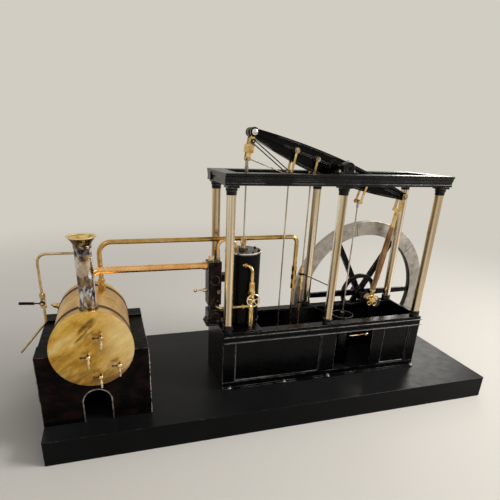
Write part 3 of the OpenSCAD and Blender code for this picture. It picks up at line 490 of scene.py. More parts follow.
def cut(piece, tools):
    """Cuts the tools out of a piece with applied booleans, and takes the tools away."""
    for tool in tools:
        step = piece.modifiers.new("cut", "BOOLEAN")
        step.operation = "DIFFERENCE"
        step.solver = "EXACT"
        step.object = tool
        pick(piece)
        bpy.ops.object.modifier_apply(modifier="cut")
        bpy.data.objects.remove(tool)


ROUND_DRUM, PAST_BOTH_ENDS, CUT_DEPTH, BELOW_FOOT = 0.0022, 0.4, 0.02, 0.002
cut(bricks, [round_cutter(drum_middle, drum_r + ROUND_DRUM, PAST_BOTH_ENDS),
             round_cutter((arch_x, arch_low[1], spring), arch_r, CUT_DEPTH),
             square_cutter((arch_x, arch_low[1], (arch_low[2] + spring - BELOW_FOOT) / 2),
                           (2 * arch_r, CUT_DEPTH, spring - arch_low[2] + BELOW_FOOT))])
brick_paint, brick_colour = soot_paint("sooty brick paint", (0.0016, 0.0012, 0.0012),
                                       (0.013, 0.0055, 0.004), (0.05, 0.03, 0.022), 0.0005, 0.56)


def object_axes(material):
    """The piece's own X, Y and Z in metres."""
    tree = material.node_tree
    place = tree.nodes.new("ShaderNodeTexCoord")
    split = tree.nodes.new("ShaderNodeSeparateXYZ")
    tree.links.new(place.outputs["Object"], split.inputs["Vector"])
    return split.outputs


def streaks(material, factor, full, none):
    """A mask that is full where the factor is low or high, and fades to none."""
    steps = sorted(((full, (1, 1, 1)), (none, (0, 0, 0))))
    return colour_steps(material, factor, steps, None)


# The bricks' upright corners are painted pale: partly rubbed wear, partly a painted highlight.
CORNER_REACH = 0.0008
brick_axes = object_axes(brick_paint)
nears = []
for number, axis in enumerate("XY"):
    middle = (setting_low[number] + setting_high[number]) / 2
    half = (setting_high[number] - setting_low[number]) / 2
    away = sums(brick_paint, "ABSOLUTE", sums(brick_paint, "SUBTRACT", brick_axes[axis], middle))
    nears.append(sums(brick_paint, "GREATER_THAN", away, half - CORNER_REACH))
corner_rub_and_highlight = streaks(brick_paint, object_noise(brick_paint, 75, 6), 0.5, 0.42)
corner_mask = sums(brick_paint, "MULTIPLY", sums(brick_paint, "MULTIPLY", *nears), corner_rub_and_highlight)
blend_colour(brick_paint, corner_mask, brick_colour, (0.50, 0.46, 0.41))
finish(bricks, brick_paint, "frame", smooth=False)

trim_steel = paint("rubbed trim steel", (0.5, 0.48, 0.43), 0.38, 1.0)
colour_steps(trim_steel, object_noise(trim_steel, 160, 5),
             ((0.35, (0.10, 0.09, 0.08)), (0.6, (0.50, 0.48, 0.44))))
rough_steps(trim_steel, object_noise(trim_steel, 300, 4), 0.3, 0.5)
coat("fire_arch_trim", trim_steel)

# Boiler.
# A drum of sheet brass with flat end plates, rubbed by hand so that the plates show soft brush marks
# and tarnish. The end plates are painted paler towards the right, a painted light, and are darker
# towards the bottom. Thin dark bands go round it in pairs near both ends.
plate_brass = paint("rubbed plate brass", (0.8, 0.5, 0.15), 0.36, 1.0)
plate_cloud = object_noise(plate_brass, 30, 9, (1.4, 1, 0.6), 0.64, math.radians(52))
plate_streaks = object_noise(plate_brass, 130, 7, (1.0, 1, 0.14), 0.62, math.radians(48))
plate_colour = colour_steps(plate_brass, plate_cloud,
                            ((0.30, (0.34, 0.16, 0.02)), (0.42, (0.62, 0.34, 0.055)),
                             (0.54, (0.80, 0.50, 0.11)), (0.70, (0.97, 0.76, 0.34))), None)
plate_dark = streaks(plate_brass, plate_streaks, 0.36, 0.47)
plate_patch = streaks(plate_brass, object_noise(plate_brass, 30, 4), 0.62, 0.45)
plate_grime = sums(plate_brass, "MULTIPLY", sums(plate_brass, "MULTIPLY", plate_dark, plate_patch), 0.9)
plate_tone = blend_colour(plate_brass, plate_grime, plate_colour, (0.12, 0.06, 0.02))
rough_steps(plate_brass, object_noise(plate_brass, 220, 6, (1, 1, 0.25)), 0.28, 0.46)
plate_axes = object_axes(plate_brass)
plate_low, plate_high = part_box("boiler_end_plates")
plate_middle = (plate_low + plate_high) / 2
plate_middle.y = plate_low[1]
sideways = sums(plate_brass, "SUBTRACT", plate_axes["X"], plate_middle[0])
upwards = sums(plate_brass, "SUBTRACT", plate_axes["Z"], plate_middle[2])
# A painted light: the plates are painted paler in strokes towards the right, where the window light
# falls.
painted_light_side = level_between(plate_brass, sideways, -0.004, 0.058, 0.72, "SMOOTHSTEP")
painted_light_strokes = object_noise(plate_brass, 70, 7, (1, 1, 0.3), 0.6, math.radians(50))
painted_light_mottle = sums(plate_brass, "MULTIPLY", sums(plate_brass, "MULTIPLY", painted_light_side, painted_light_strokes), 1.5)
plate_with_painted_light = blend_colour(plate_brass, painted_light_mottle, plate_tone, (1.0, 0.80, 0.42))
# The plates are painted darker towards the bottom, in strokes.
low_part = level_between(plate_brass, upwards, 0.004, -0.066, ease="SMOOTHSTEP")
low_noise = object_noise(plate_brass, 90, 8, (1, 1, 0.2), 0.66, math.radians(55))
low_strokes = streaks(plate_brass, low_noise, 0.42, 0.56)
low_darkening = sums(plate_brass, "MULTIPLY", sums(plate_brass, "MULTIPLY", low_part, low_strokes), 0.85)
blend_colour(plate_brass, low_darkening, plate_with_painted_light, (0.20, 0.095, 0.03))
CROWNING = -1.3
sideways_squared = sums(plate_brass, "MULTIPLY", sideways, sideways)
upwards_squared = sums(plate_brass, "MULTIPLY", upwards, upwards)
from_centre = sums(plate_brass, "ADD", sideways_squared, upwards_squared)
crown = sums(plate_brass, "MULTIPLY", from_centre, CROWNING)
brushed = sums(plate_brass, "MULTIPLY", object_noise(plate_brass, 190, 6, (1, 1, 0.35)), 0.00006)
dents(plate_brass, sums(plate_brass, "ADD", crown, brushed), 1.0, 1.0)
coat("boiler_end_plates", plate_brass, 0.0008)

drum_brass = paint("aged drum brass", (0.6, 0.42, 0.18), 0.42, 1.0)
drum_colour = colour_steps(drum_brass, object_noise(drum_brass, 16, 7, (1.2, 0.35, 1.2), 0.6),
                           ((0.3, (0.34, 0.17, 0.035)), (0.5, (0.63, 0.39, 0.11)),
                            (0.72, (0.88, 0.66, 0.33))), None)
drum_streak = streaks(drum_brass, object_noise(drum_brass, 150, 6, (0.15, 1, 0.15), 0.6), 0.36, 0.5)
blend_colour(drum_brass, sums(drum_brass, "MULTIPLY", drum_streak, 0.4), drum_colour, (0.24, 0.13, 0.04))
rough_steps(drum_brass, object_noise(drum_brass, 140, 5, (0.2, 1, 0.2)), 0.34, 0.5)
coat("boiler_shell", drum_brass)

band_brown = paint("dark band", (0.07, 0.045, 0.03), 0.5, 0.4)
colour_steps(band_brown, object_noise(band_brown, 150, 4),
             ((0.3, (0.03, 0.02, 0.015)), (0.7, (0.13, 0.08, 0.05))))
coat("boiler_straps", band_brown)

# Cocks on the boiler.
# Four small brass try cocks screw into the front plate, each a turned body with a spout that hangs
# down and a dark lever to the left. A larger six-sided valve stands out on the drum's left side.
def turned(profile, sides=24):
    """A round piece drawn up ring by ring from (height, radius) pairs in millimetres."""
    bpy.ops.object.select_all(action="DESELECT")
    bpy.ops.mesh.primitive_circle_add(vertices=sides, radius=profile[0][1] / 1000, fill_type="NGON",
                                      location=(0, 0, 0))
    piece = bpy.context.object
    bpy.ops.object.mode_set(mode="EDIT")
    bpy.ops.mesh.select_all(action="SELECT")
    bpy.ops.transform.translate(value=(0, 0, profile[0][0] / 1000))
    for (low, narrow), (high, wide) in zip(profile, profile[1:]):
        bpy.ops.mesh.extrude_region_move(TRANSFORM_OT_translate={"value": (0, 0, (high - low) / 1000)})
        bpy.ops.transform.resize(value=(wide / narrow, wide / narrow, 1),
                                 center_override=(0, 0, high / 1000))
    bpy.ops.object.mode_set(mode="OBJECT")
    return piece


UP = Matrix.Identity(4)
DOWN = Matrix.Rotation(math.pi, 4, "X")
FRONT = Matrix.Rotation(math.pi / 2, 4, "X")
BACK = Matrix.Rotation(-math.pi / 2, 4, "X")
LEFT = Matrix.Rotation(-math.pi / 2, 4, "Y")


def copies(piece, placed):
    """Sets a copy of a modelled piece, with its own mesh, at each place, and takes the model away."""
    made = []
    for matrix in placed:
        copy = piece.copy()
        copy.data = piece.data.copy()
        copy.matrix_world = matrix
        bpy.context.collection.objects.link(copy)
        pick(copy)
        bpy.ops.object.transform_apply(location=True, rotation=True, scale=True)
        made.append(copy)
    bpy.data.objects.remove(piece)
    return made


def stand(place, turn=UP):
    """Where and which way a piece is set."""
    return Matrix.Translation(place) @ turn


# Sideways and up from the plate's middle, in millimetres
COCK_OFFSETS = ((15, 24), (-7, -9), (41, -29), (10, -47))
PLUG_OUT, LEVER_UP = 0.0085, 0.0005
cock_places = [plate_middle + Vector((side, 0, up)) / 1000 for side, up in COCK_OFFSETS]
plug_places = [place + Vector((0, -PLUG_OUT, 0)) for place in cock_places]
bodies = copies(turned([(-1, 3.2), (1.2, 3.2), (1.6, 2.1), (5, 2.1), (5.4, 3.0), (6.2, 3.6), (11, 3.6),
                        (11.8, 3.0), (12.4, 1.4)]), [stand(place, FRONT) for place in cock_places])
spouts = copies(turned([(0, 2.0), (9, 1.8), (10, 2.6), (11, 2.7), (16.5, 2.0), (20, 1.8)]),
                [stand(place, DOWN) for place in plug_places])
fitting_metal = paint("turned fitting brass", (0.8, 0.62, 0.34), 0.24, 1.0)
colour_steps(fitting_metal, object_noise(fitting_metal, 160, 4),
             ((0.34, (0.34, 0.20, 0.08)), (0.5, (0.80, 0.60, 0.30)), (0.66, (0.96, 0.86, 0.64))))
rough_steps(fitting_metal, object_noise(fitting_metal, 300, 3), 0.18, 0.32)
cocks = finish(join(bodies + spouts, "try_cocks"), fitting_metal, "frame")
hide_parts("boiler_fittings")
tails = copies(turned([(2.4, 2.0), (3.4, 2.6), (5, 1.3), (9, 1.2), (10.5, 2.2), (12.5, 2.0), (13, 1.0)]),
               [stand(place + Vector((0, 0, LEVER_UP)), LEFT) for place in plug_places])
tips = copies(turned([(2.6, 2.4), (4.2, 2.4), (5, 1.2), (6.5, 1.1)]),
              [stand(place) for place in plug_places])
lever_black = paint("dark cock lever", (0.05, 0.035, 0.025), 0.35, 0.6)
colour_steps(lever_black, object_noise(lever_black, 300, 4),
             ((0.35, (0.015, 0.011, 0.009)), (0.7, (0.16, 0.10, 0.05))))
finish(join(tails + tips, "try_cock_levers"), lever_black, "frame")

VALVE_LEAN, VALVE_INSET = math.radians(-70), 0.010
valve_stand = stand(Vector((drum_middle[0], shell_high[1] - VALVE_INSET, drum_middle[2])),
                    Matrix.Rotation(VALVE_LEAN, 4, "Y"))
valve_body = turned([(64, 5.6), (67, 5.6), (67.6, 4.4), (69, 4.4)])
valve_nut = turned([(68, 4.2), (68.6, 4.9), (74.6, 4.9), (75.2, 4.2)], 6)
valve_tip = turned([(74, 2.4), (77, 2.6), (79.5, 2.4), (80, 1.2)])
valve_parts = [copies(part, [valve_stand])[0] for part in (valve_body, valve_nut, valve_tip)]
finish(join(valve_parts, "side_valve"), fitting_metal, "frame")

# Chimney.
# A silvered tube, badly tarnished in blue-black and brown patches. Its mouth is a spun trumpet of
# brass, dark outside, whose lip and inside are rubbed bright, over a small brass skirt on the drum.
old_silver = paint("tarnished silver", (0.5, 0.5, 0.5), 0.26, 1.0)
silver_patches = object_noise(old_silver, 70, 8, (1, 1, 0.55), 0.66)
silver_colour = colour_steps(old_silver, silver_patches,
                             ((0.40, (0.015, 0.016, 0.035)), (0.46, (0.07, 0.065, 0.09)),
                              (0.50, (0.34, 0.29, 0.25)), (0.56, (0.74, 0.71, 0.68)),
                              (0.68, (0.92, 0.91, 0.91))), None)
silver_warm = streaks(old_silver, object_noise(old_silver, 48, 5), 0.60, 0.50)
silver_warm = sums(old_silver, "MULTIPLY", silver_warm, 0.65)
blend_colour(old_silver, silver_warm, silver_colour, (0.42, 0.27, 0.11))
rough_steps(old_silver, silver_patches, 0.40, 0.2)
dents(old_silver, object_noise(old_silver, 90, 4), 0.18, 0.0008)
coat("chimney_tube", old_silver)
mouth_brass = paint("tarnished mouth brass", (0.4, 0.27, 0.12), 0.34, 1.0)
mouth_colour = colour_steps(mouth_brass, object_noise(mouth_brass, 120, 7, (1, 1, 0.8)),
                            ((0.40, (0.03, 0.022, 0.018)), (0.52, (0.20, 0.135, 0.07)),
                             (0.66, (0.62, 0.50, 0.33))), None)
mouth_low, mouth_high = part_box("chimney_fittings")
tube_low, tube_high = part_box("chimney_tube")
tube_middle = (tube_low + tube_high) / 2
LIP_START, LIP_END = 0.0026, 0.0010
lip_part = level_between(mouth_brass, object_axes(mouth_brass)["Z"], mouth_high[2] - LIP_START,
                         mouth_high[2] - LIP_END)
blend_colour(mouth_brass, lip_part, mouth_colour, (0.94, 0.78, 0.46))
rough_steps(mouth_brass, object_noise(mouth_brass, 150, 4), 0.22, 0.42)
coat("chimney_fittings", mouth_brass)
bright_lining = paint("rubbed mouth lining", (0.90, 0.62, 0.18), 0.28, 1.0)
colour_steps(bright_lining, object_noise(bright_lining, 90, 5),
             ((0.35, (0.55, 0.32, 0.08)), (0.6, (0.95, 0.70, 0.26))))
LINING_UP = 0.0001
mouth_r = (mouth_high[0] - mouth_low[0]) * 500
lining = turned([(-9, 12), (-5, 15.5), (-2.2, mouth_r - 3.4), (0, mouth_r - 1.2), (0, mouth_r - 1.9),
                 (-2.6, mouth_r - 4.1), (-5.4, 15.0), (-9, 11.4), (-12, 11.0)], 48)
lining_top = Vector((tube_middle[0], tube_middle[1], mouth_high[2] + LINING_UP))
lining = copies(lining, [stand(lining_top)])[0]
lining.name = "chimney_lining"
finish(lining, bright_lining, "frame")

# Pipes.
# Drawn brass and copper pipe, bent by hand and bright along its length. The copper that carries
# the steam has gone orange-brown with heat, and the brass of the drain pipe is dull.
def metal(name, dark, middle, light, scale, low, high, stretch=(1, 1, 1)):
    """A bare metal in three near tones with patchy polish."""
    material = paint(name, middle, (low + high) / 2, 1.0)
    colour_steps(material, object_noise(material, scale, 6, stretch),
                 ((0.30, dark), (0.48, middle), (0.70, light)))
    rough_steps(material, object_noise(material, scale * 5, 4, stretch), low, high)
    return material


coat("water_pipe", metal("drawn brass pipe", (0.34, 0.19, 0.05), (0.52, 0.32, 0.10), (0.70, 0.48, 0.19),
                         34, 0.16, 0.26))
coat("drain_pipe", metal("dull drain brass", (0.30, 0.20, 0.09), (0.54, 0.40, 0.20), (0.74, 0.60, 0.36),
                         40, 0.24, 0.36))
coat("steam_pipes", metal("hot copper pipe", (0.78, 0.37, 0.12), (0.94, 0.54, 0.21), (0.97, 0.66, 0.33),
                          20, 0.22, 0.34))

# Bed.
# A long open box of plate with rails and posts at the front, brushed with black enamel that handling
# has rubbed to grey along the edges, where a highlight is painted as well. Beads frame the front
# panels, and bolts hold its foot strip.
enamel = paint("black enamel", (0.0012, 0.0012, 0.0015), 0.24, specular=0.12)
enamel_colour = colour_steps(enamel, object_noise(enamel, 30, 6),
                             ((0.35, (0.0006, 0.0006, 0.0008)), (0.75, (0.0020, 0.0020, 0.0026))))
rough_steps(enamel, object_noise(enamel, 90, 6), 0.18, 0.32)
dents(enamel, object_noise(enamel, 300, 3), 0.03, 0.0002)
# Edges painted lighter: rubbed wear and a painted highlight.
worn_and_highlit_edges(enamel, enamel_colour, (0.26, 0.255, 0.245), 0.0011, 24, 0.43)
for node in ("bed_front_rails", "bed_front_posts", "bed_front_panels", "bed_back_wall", "bed_end_walls",
             "deck_plate"):
    coat(node, enamel, 0.0005)

rails_low, rails_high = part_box("bed_front_rails")
bed_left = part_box("bed_back_wall")[0][0]
panel_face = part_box("bed_front_panels")[0][1]
sill_top, rail_foot, rail_step = (at(0, 0, height)[2] for height in (14, 103, 116))
PANELS = ((0.025, 0.213), (0.362, 0.428))
BEAD_WIDTH, BEAD_THICK, BEAD_ROUND, BEAD_SUNK = 0.0026, 0.0016, 0.0003, 0.0002
RAIL_INSET, RAIL_PROUD, RAIL_SUNK, RAIL_UP = 0.001, 0.0009, 0.0004, 0.0005


def bead_frame(left, right, foot, head, face, width, thick):
    """A thin bead round a panel, inset from one face and drawn forward."""
    bpy.ops.object.select_all(action="DESELECT")
    bpy.ops.mesh.primitive_plane_add(size=1, location=(0, 0, 0), rotation=(math.pi / 2, 0, 0))
    piece = bpy.context.object
    piece.scale = (right - left, head - foot, 1)
    piece.location = ((left + right) / 2, face, (foot + head) / 2)
    bpy.ops.object.transform_apply(location=True, rotation=True, scale=True)
    bpy.ops.object.mode_set(mode="EDIT")
    bpy.ops.mesh.select_all(action="SELECT")
    bpy.ops.mesh.inset(thickness=width)
    bpy.ops.mesh.delete(type="FACE")
    bpy.ops.mesh.select_all(action="SELECT")
    bpy.ops.mesh.extrude_region_move(TRANSFORM_OT_translate={"value": (0, -thick, 0)})
    bpy.ops.mesh.select_all(action="SELECT")
    bpy.ops.mesh.normals_make_consistent(inside=False)
    bpy.ops.mesh.bevel(offset=BEAD_ROUND, segments=1)
    bpy.ops.object.mode_set(mode="OBJECT")
    return piece


beads = [bead_frame(bed_left + left, bed_left + right, sill_top, rail_foot, panel_face + BEAD_SUNK,
                    BEAD_WIDTH, BEAD_THICK) for left, right in PANELS]
rail_beads = [block((rails_low[0] + RAIL_INSET, rails_low[1] - RAIL_PROUD, foot),
                    (rails_high[0] - RAIL_INSET, rails_low[1] + RAIL_SUNK, foot + BEAD_THICK),
                    BEAD_ROUND)
              for foot in (rail_foot + RAIL_UP, rail_step)]
# The beads are painted lighter than the bed, and lighter still along their edges: partly rubbed wear,
# partly a painted highlight that draws them as light lines.
bead_paint = paint("rubbed and highlit bead enamel", (0.02, 0.02, 0.02), 0.3, specular=0.3)
bead_colour = colour_steps(bead_paint, object_noise(bead_paint, 45, 6, (0.5, 1, 0.5)),
                           ((0.42, (0.004, 0.004, 0.005)), (0.62, (0.10, 0.098, 0.095))))
worn_and_highlit_edges(bead_paint, bead_colour, (0.42, 0.41, 0.39), 0.0007, 40, 0.40)
finish(join(beads + rail_beads, "bed_beads"), bead_paint, "frame", smooth=False)

FOOT_BOLT_XS, FOOT_STRIP_Y, FOOT_STRIP_TOP = (339, 457, 559, 770), 84, 3
bolt_places = [stand(at(x, FOOT_STRIP_Y, FOOT_STRIP_TOP)) for x in FOOT_BOLT_XS]
washers = copies(turned([(-0.3, 4.4), (0.7, 4.4), (1.0, 4.1)]), bolt_places)
heads = copies(turned([(0.8, 2.9), (3.2, 2.9), (3.8, 2.4)], 6), bolt_places)
bolt_steel = paint("rubbed bolt steel", (0.4, 0.39, 0.37), 0.34, 0.9)
colour_steps(bolt_steel, object_noise(bolt_steel, 200, 4),
             ((0.40, (0.02, 0.02, 0.02)), (0.56, (0.52, 0.50, 0.47))))
finish(join(washers + heads, "foot_bolts"), bolt_steel, "frame")

# Valve chest and cylinder.
# The chest is a tall black box, screwed to the cylinder, with brass glands. The cylinder is a black
# barrel under an oiled steel cover with a brass gland and eight studs, and its rim ring is bright.
chest_paint = paint("chest enamel", (0.002, 0.002, 0.0024), 0.3, specular=0.14)
chest_colour = colour_steps(chest_paint, object_noise(chest_paint, 60, 6),
                            ((0.45, (0.0012, 0.0012, 0.0015)), (0.72, (0.03, 0.012, 0.008))))
rough_steps(chest_paint, object_noise(chest_paint, 120, 5), 0.22, 0.4)
# Edges painted lighter: rubbed wear and a painted highlight.
worn_and_highlit_edges(chest_paint, chest_colour, (0.42, 0.40, 0.37), 0.001, 120, 0.45)
coat("valve_chest", chest_paint)
barrel_paint = paint("barrel enamel", (0.0012, 0.0013, 0.002), 0.2, specular=0.09)
rough_steps(barrel_paint, object_noise(barrel_paint, 60, 5), 0.18, 0.32)
barrel_colour = colour_steps(barrel_paint, object_noise(barrel_paint, 26, 5),
                             ((0.35, (0.0008, 0.0009, 0.0014)), (0.75, (0.0020, 0.0023, 0.0034))))
# Edges painted lighter: rubbed wear and a painted highlight.
worn_and_highlit_edges(barrel_paint, barrel_colour, (0.3, 0.3, 0.3), 0.001, 90, 0.5)
coat("cylinder_barrel", barrel_paint, 0.0005)
OILED_STEEL = ((0.3, (0.03, 0.028, 0.026)), (0.7, (0.10, 0.095, 0.09)))
cover_steel = paint("oiled cover steel", (0.05, 0.048, 0.046), 0.3, 1.0)
colour_steps(cover_steel, object_noise(cover_steel, 90, 5), OILED_STEEL)
rough_steps(cover_steel, object_noise(cover_steel, 260, 4), 0.26, 0.42)
COVER_TOP, GLAND_FOOT = 269, 5.2
cover_low, cover_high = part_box("cylinder_cover")
gland_metal = paint("gland brass on the cover", (0.05, 0.048, 0.046), 0.28, 1.0)
gland_part = sums(gland_metal, "GREATER_THAN", object_axes(gland_metal)["Z"],
                  at(0, 0, COVER_TOP + GLAND_FOOT)[2])
gland_dark = colour_steps(gland_metal, object_noise(gland_metal, 90, 5), OILED_STEEL, None)
gland_gold = colour_steps(gland_metal, object_noise(gland_metal, 150, 5),
                          ((0.34, (0.30, 0.19, 0.08)), (0.6, (0.86, 0.66, 0.34))), None)
blend_colour(gland_metal, gland_part, gland_dark, gland_gold)
rough_steps(gland_metal, object_noise(gland_metal, 260, 4), 0.22, 0.4)
coat("cylinder_cover", gland_metal, 0.0004)
cover_r = (cover_high[0] - cover_low[0]) * 500
cover_middle = (cover_low + cover_high) / 2
cover_middle.z = at(0, 0, COVER_TOP)[2]
ring = copies(turned([(-1.6, cover_r + 0.1), (0.3, cover_r + 0.1), (0.7, cover_r - 0.3),
                      (0.7, cover_r - 1.3), (0.3, cover_r - 1.7), (-1.2, cover_r - 1.8)], 64),
              [stand(cover_middle)])[0]
ring.name = "cylinder_rim_ring"
ring_steel = paint("polished ring steel", (0.80, 0.77, 0.72), 0.22, 1.0)
rough_steps(ring_steel, object_noise(ring_steel, 240, 4), 0.16, 0.34)
colour_steps(ring_steel, object_noise(ring_steel, 140, 4),
             ((0.36, (0.40, 0.37, 0.33)), (0.56, (0.86, 0.84, 0.80))))
finish(ring, ring_steel, "frame")
STUDS, STUD_INSET = 8, 5.5
stud_places = []
for number in range(STUDS):
    angle = 2 * math.pi * (number + 0.5) / STUDS
    reach = Vector((math.cos(angle), math.sin(angle), 0)) * (cover_r - STUD_INSET) / 1000
    stud_places.append(stand(cover_middle + reach))
nuts = copies(turned([(-0.4, 2.6), (2.0, 2.6), (2.5, 2.1), (2.5, 1.2), (3.6, 1.1)], 6), stud_places)
finish(join(nuts, "cover_nuts"), cover_steel, "frame")

wheel_brass = metal("pale wheel brass", (0.62, 0.44, 0.20), (0.86, 0.70, 0.42), (0.97, 0.90, 0.72),
                    120, 0.18, 0.3)
cast_brass = metal("cast link brass", (0.42, 0.25, 0.08), (0.74, 0.49, 0.17), (0.92, 0.73, 0.38),
                   90, 0.2, 0.34)
coat("injection_pipe", cast_brass, 0.0003)
coat("injection_handwheel", wheel_brass)
coat("chest_fittings", wheel_brass)

# Columns and entablature.
# Six drawn tubes stand between black feet and capitals and carry the frame of moulded bars. On it
# sit the beam's two bearings, each held by a pair of bright nuts under an oil cup.
column_steel = paint("drawn column metal", (0.62, 0.49, 0.32), 0.2, 1.0)
colour_steps(column_steel, object_noise(column_steel, 150, 3, (1, 1, 0.008), 0.5),
             ((0.36, (0.30, 0.20, 0.105)), (0.46, (0.58, 0.44, 0.27)), (0.54, (0.72, 0.60, 0.42)),
              (0.64, (0.98, 0.93, 0.82))))
rough_steps(column_steel, object_noise(column_steel, 60, 5, (1, 1, 0.1)), 0.14, 0.26)
coat("columns", column_steel)
frame_enamel = paint("frame enamel", (0.003, 0.003, 0.0034), 0.28, specular=0.22)
frame_colour = colour_steps(frame_enamel, object_noise(frame_enamel, 30, 6),
                            ((0.35, (0.0012, 0.0012, 0.0015)), (0.75, (0.0040, 0.0040, 0.0046))))
rough_steps(frame_enamel, object_noise(frame_enamel, 90, 6), 0.2, 0.36)
# Edges painted lighter: rubbed wear and a painted highlight.
worn_and_highlit_edges(frame_enamel, frame_colour, (0.30, 0.295, 0.28), 0.0011, 22, 0.44)
for node in ("column_fittings", "entablature_sides", "entablature_ends", "shaft_bearings"):
    coat(node, frame_enamel, 0.0005)

BEARING_X, BEARING_YS, NUT_SIDE, NUT_FOOT = 551, (97, 203), 14, 418
nut_places = [stand(at(BEARING_X + side, y, NUT_FOOT))
              for side in (-NUT_SIDE, NUT_SIDE) for y in BEARING_YS]
bearing_nuts = copies(turned([(-0.2, 3.3), (0.5, 3.3), (0.6, 2.7), (2.6, 2.7), (3.1, 2.2), (3.1, 1.3),
                              (4.2, 1.2)], 6), nut_places)
cup_places = []
for y in BEARING_YS:
    cup_foot = at(BEARING_X, y, 0)
    cup_foot.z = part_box("shaft_bearings")[1][2]
    cup_places.append(stand(cup_foot))
oil_cups = copies(turned([(-4.0, 2.1), (-3.4, 3.0), (-0.6, 3.0), (-0.1, 2.4)]), cup_places)
finish(join(bearing_nuts + oil_cups, "bearing_nuts"), ring_steel, "frame")

# Pumps and stays.
# The air pump is a black bucket in the bed's open bay, whose brown side pipe ends in a bright ball.
# The feed pumps are slender, brown below and brass above. Stays and blow-down lever are black.
pump_low, pump_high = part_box("air_pump")
pump_w = pump_high[1] - pump_low[1]
bucket_paint = paint("air pump enamel", (0.0015, 0.0015, 0.0019), 0.22, specular=0.2)
bucket_colour = colour_steps(bucket_paint, object_noise(bucket_paint, 40, 5),
                             ((0.35, (0.0008, 0.0009, 0.0012)), (0.75, (0.0025, 0.0028, 0.0038))))
# Edges painted lighter: rubbed wear and a painted highlight.
bucket_worn_and_lit = worn_and_highlit_edges(bucket_paint, bucket_colour, (0.26, 0.27, 0.28), 0.0012, 60, 0.36)
PAST_BARREL, BALL_REACH = 0.001, 0.0102
bucket_x = object_axes(bucket_paint)["X"]
pipe_part = sums(bucket_paint, "GREATER_THAN", bucket_x, pump_low[0] + pump_w + PAST_BARREL)
ball_part = sums(bucket_paint, "GREATER_THAN", bucket_x, pump_high[0] - BALL_REACH)
with_pipe = blend_colour(bucket_paint, pipe_part, bucket_worn_and_lit, (0.42, 0.25, 0.13))
blend_colour(bucket_paint, ball_part, with_pipe, (0.95, 0.90, 0.80))
bucket_tree = bucket_paint.node_tree
bucket_tree.links.new(pipe_part, bucket_tree.nodes["Principled BSDF"].inputs["Metallic"])
rough_steps(bucket_paint, object_noise(bucket_paint, 90, 5), 0.16, 0.3)
coat("air_pump", bucket_paint, 0.0004)
BROWN_TOP, BRIGHT_FOOT = 176, 184
pump_brass = paint("feed pump brass", (0.7, 0.5, 0.2), 0.26, 1.0)
bright_part = level_between(pump_brass, object_axes(pump_brass)["Z"], at(0, 0, BROWN_TOP)[2],
                            at(0, 0, BRIGHT_FOOT)[2])
pump_brown = colour_steps(pump_brass, object_noise(pump_brass, 60, 5, (1, 1, 0.4)),
                          ((0.36, (0.26, 0.13, 0.065)), (0.64, (0.60, 0.38, 0.21))), None)
pump_bright = colour_steps(pump_brass, object_noise(pump_brass, 90, 5),
                           ((0.34, (0.48, 0.30, 0.10)), (0.62, (0.90, 0.70, 0.36))), None)
blend_colour(pump_brass, bright_part, pump_brown, pump_bright)
rough_steps(pump_brass, object_noise(pump_brass, 240, 4), 0.2, 0.34)
coat("feed_pumps", pump_brass)
coat("guide_stays", enamel)
coat("radius_rods", enamel)
coat("drain_lever", enamel)

# Beam.
# A black cast beam with a rim and a middle rib, rocking on its trunnions. Each link hangs from a
# polished pin with a washer, and the great pin at the left end has a black cap with a bright nut.
coat("beam", enamel, 0.0006)
coat("beam_pins", metal("rubbed pin metal", (0.20, 0.14, 0.08), (0.50, 0.38, 0.22), (0.86, 0.76, 0.58),
                        150, 0.2, 0.34))


def depth_of(node, x, z, reach):
    """How far to the front and to the back a node's mesh comes near a place."""
    near = [v.co[1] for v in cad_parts[node].data.vertices
            if abs(v.co[0] - x) < reach and abs(v.co[2] - z) < reach]
    return min(near), max(near)


GREAT_PIN_X, GREAT_PIN_Z, PIN_REACH, CAP_SUNK = 385.7, 478.3, 0.009, 0.0014
great_pin = at(GREAT_PIN_X, 0, GREAT_PIN_Z)
pin_front, pin_back = depth_of("beam_pins", great_pin[0], great_pin[2], PIN_REACH)
cap_places = [stand(Vector((great_pin[0], pin_front + CAP_SUNK, great_pin[2])), FRONT),
              stand(Vector((great_pin[0], pin_back - CAP_SUNK, great_pin[2])), BACK)]
caps = copies(turned([(-0.4, 7.9), (0.6, 7.9), (1.2, 7.6), (1.5, 7.0)], 40), cap_places)
finish(join(caps, "great_pin_caps"), enamel, "beam")
pin_nuts = copies(turned([(1.0, 5.2), (1.9, 5.2), (2.3, 4.6), (2.3, 3.1), (3.2, 2.9), (3.9, 2.2)]),
                  cap_places)
finish(join(pin_nuts, "great_pin_nuts"), ring_steel, "beam")

# Links and rods.
# Brass links with forked ends hang from the beam, and thin rods of drawn steel go down to the
# piston and the pumps. The connecting rod is a browned copper bar between cast brass ends.
for node in ("main_link", "injection_pump_link", "feed_pump_link", "air_pump_link",
             "connecting_rod_ends"):
    coat(node, cast_brass, 0.0003)
rod_steel = metal("rod steel", (0.26, 0.20, 0.13), (0.48, 0.41, 0.31), (0.74, 0.68, 0.58),
                  60, 0.22, 0.34, (1, 1, 0.3))
for node in ("piston_rod", "injection_pump_rod", "feed_pump_rod", "air_pump_rod", "parallel_bar"):
    coat(node, rod_steel)
rod_copper = metal("browned copper rod", (0.09, 0.045, 0.022), (0.30, 0.155, 0.07), (0.62, 0.40, 0.23),
                   70, 0.22, 0.36, (1, 1, 0.25))
coat("connecting_rod", rod_copper)

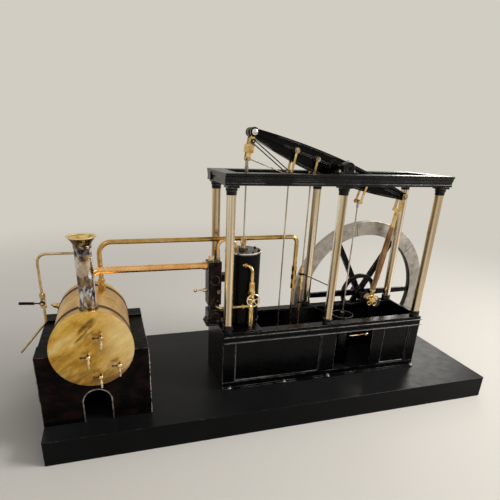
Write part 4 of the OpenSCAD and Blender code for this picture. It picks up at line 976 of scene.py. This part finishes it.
# Crankshaft and flywheel.
# The wheel's rim is turned and brushed steel in six segments, whose joints show as thin dark lines,
# and black inside, on black spokes. The shaft and crank are bare rod steel.
coat("crankshaft", rod_steel)
coat("flywheel_spokes", enamel, 0.0005)
coat("flywheel_hub", enamel, 0.0004)
rim_low, rim_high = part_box("flywheel_rim")
rim_r = (rim_high[0] - rim_low[0]) / 2
RIM_DEPTH, JOINT_HALF, FIRST_JOINT = 0.0306, 0.0045, math.radians(-41.5)
rim_steel = paint("brushed rim steel", (0.40, 0.37, 0.34), 0.46, 1.0)
rim_tree = rim_steel.node_tree
rim_place = rim_tree.nodes.new("ShaderNodeTexCoord")
rim_centre = rim_tree.nodes.new("ShaderNodeVectorMath")
rim_centre.operation = "SUBTRACT"
rim_centre.inputs[1].default_value = (rim_low + rim_high) / 2
rim_split = rim_tree.nodes.new("ShaderNodeSeparateXYZ")
rim_tree.links.new(rim_place.outputs["Object"], rim_centre.inputs[0])
rim_tree.links.new(rim_centre.outputs["Vector"], rim_split.inputs["Vector"])
rim_angle = sums(rim_steel, "ARCTAN2", rim_split.outputs["Z"], rim_split.outputs["X"])
across = sums(rim_steel, "POWER", rim_split.outputs["X"], 2.0)
upward = sums(rim_steel, "POWER", rim_split.outputs["Z"], 2.0)
from_middle = sums(rim_steel, "SQRT", sums(rim_steel, "ADD", across, upward))
sixth = math.pi / 3
turned_angle = sums(rim_steel, "ADD", rim_angle, 2 * math.pi + FIRST_JOINT)
along_segment = sums(rim_steel, "MODULO", turned_angle, sixth)
in_sixth = sums(rim_steel, "ABSOLUTE", sums(rim_steel, "SUBTRACT", along_segment, sixth / 2))
joint_line = sums(rim_steel, "GREATER_THAN", in_sixth, sixth / 2 - JOINT_HALF)
inner_face = sums(rim_steel, "LESS_THAN", from_middle, rim_r - RIM_DEPTH)
rim_brush = object_noise(rim_steel, 46, 8, (1, 0.4, 1), 0.68)
rim_colour = colour_steps(rim_steel, rim_brush,
                          ((0.30, (0.22, 0.195, 0.17)), (0.5, (0.40, 0.37, 0.335)),
                           (0.70, (0.56, 0.53, 0.49))), None)
rim_marked = blend_colour(rim_steel, sums(rim_steel, "MULTIPLY", joint_line, 0.85), rim_colour,
                          (0.02, 0.018, 0.016))
blend_colour(rim_steel, sums(rim_steel, "MULTIPLY", inner_face, 0.92), rim_marked, (0.015, 0.014, 0.014))
rough_steps(rim_steel, object_noise(rim_steel, 200, 4), 0.38, 0.52)
coat("flywheel_rim", rim_steel, 0.0005)
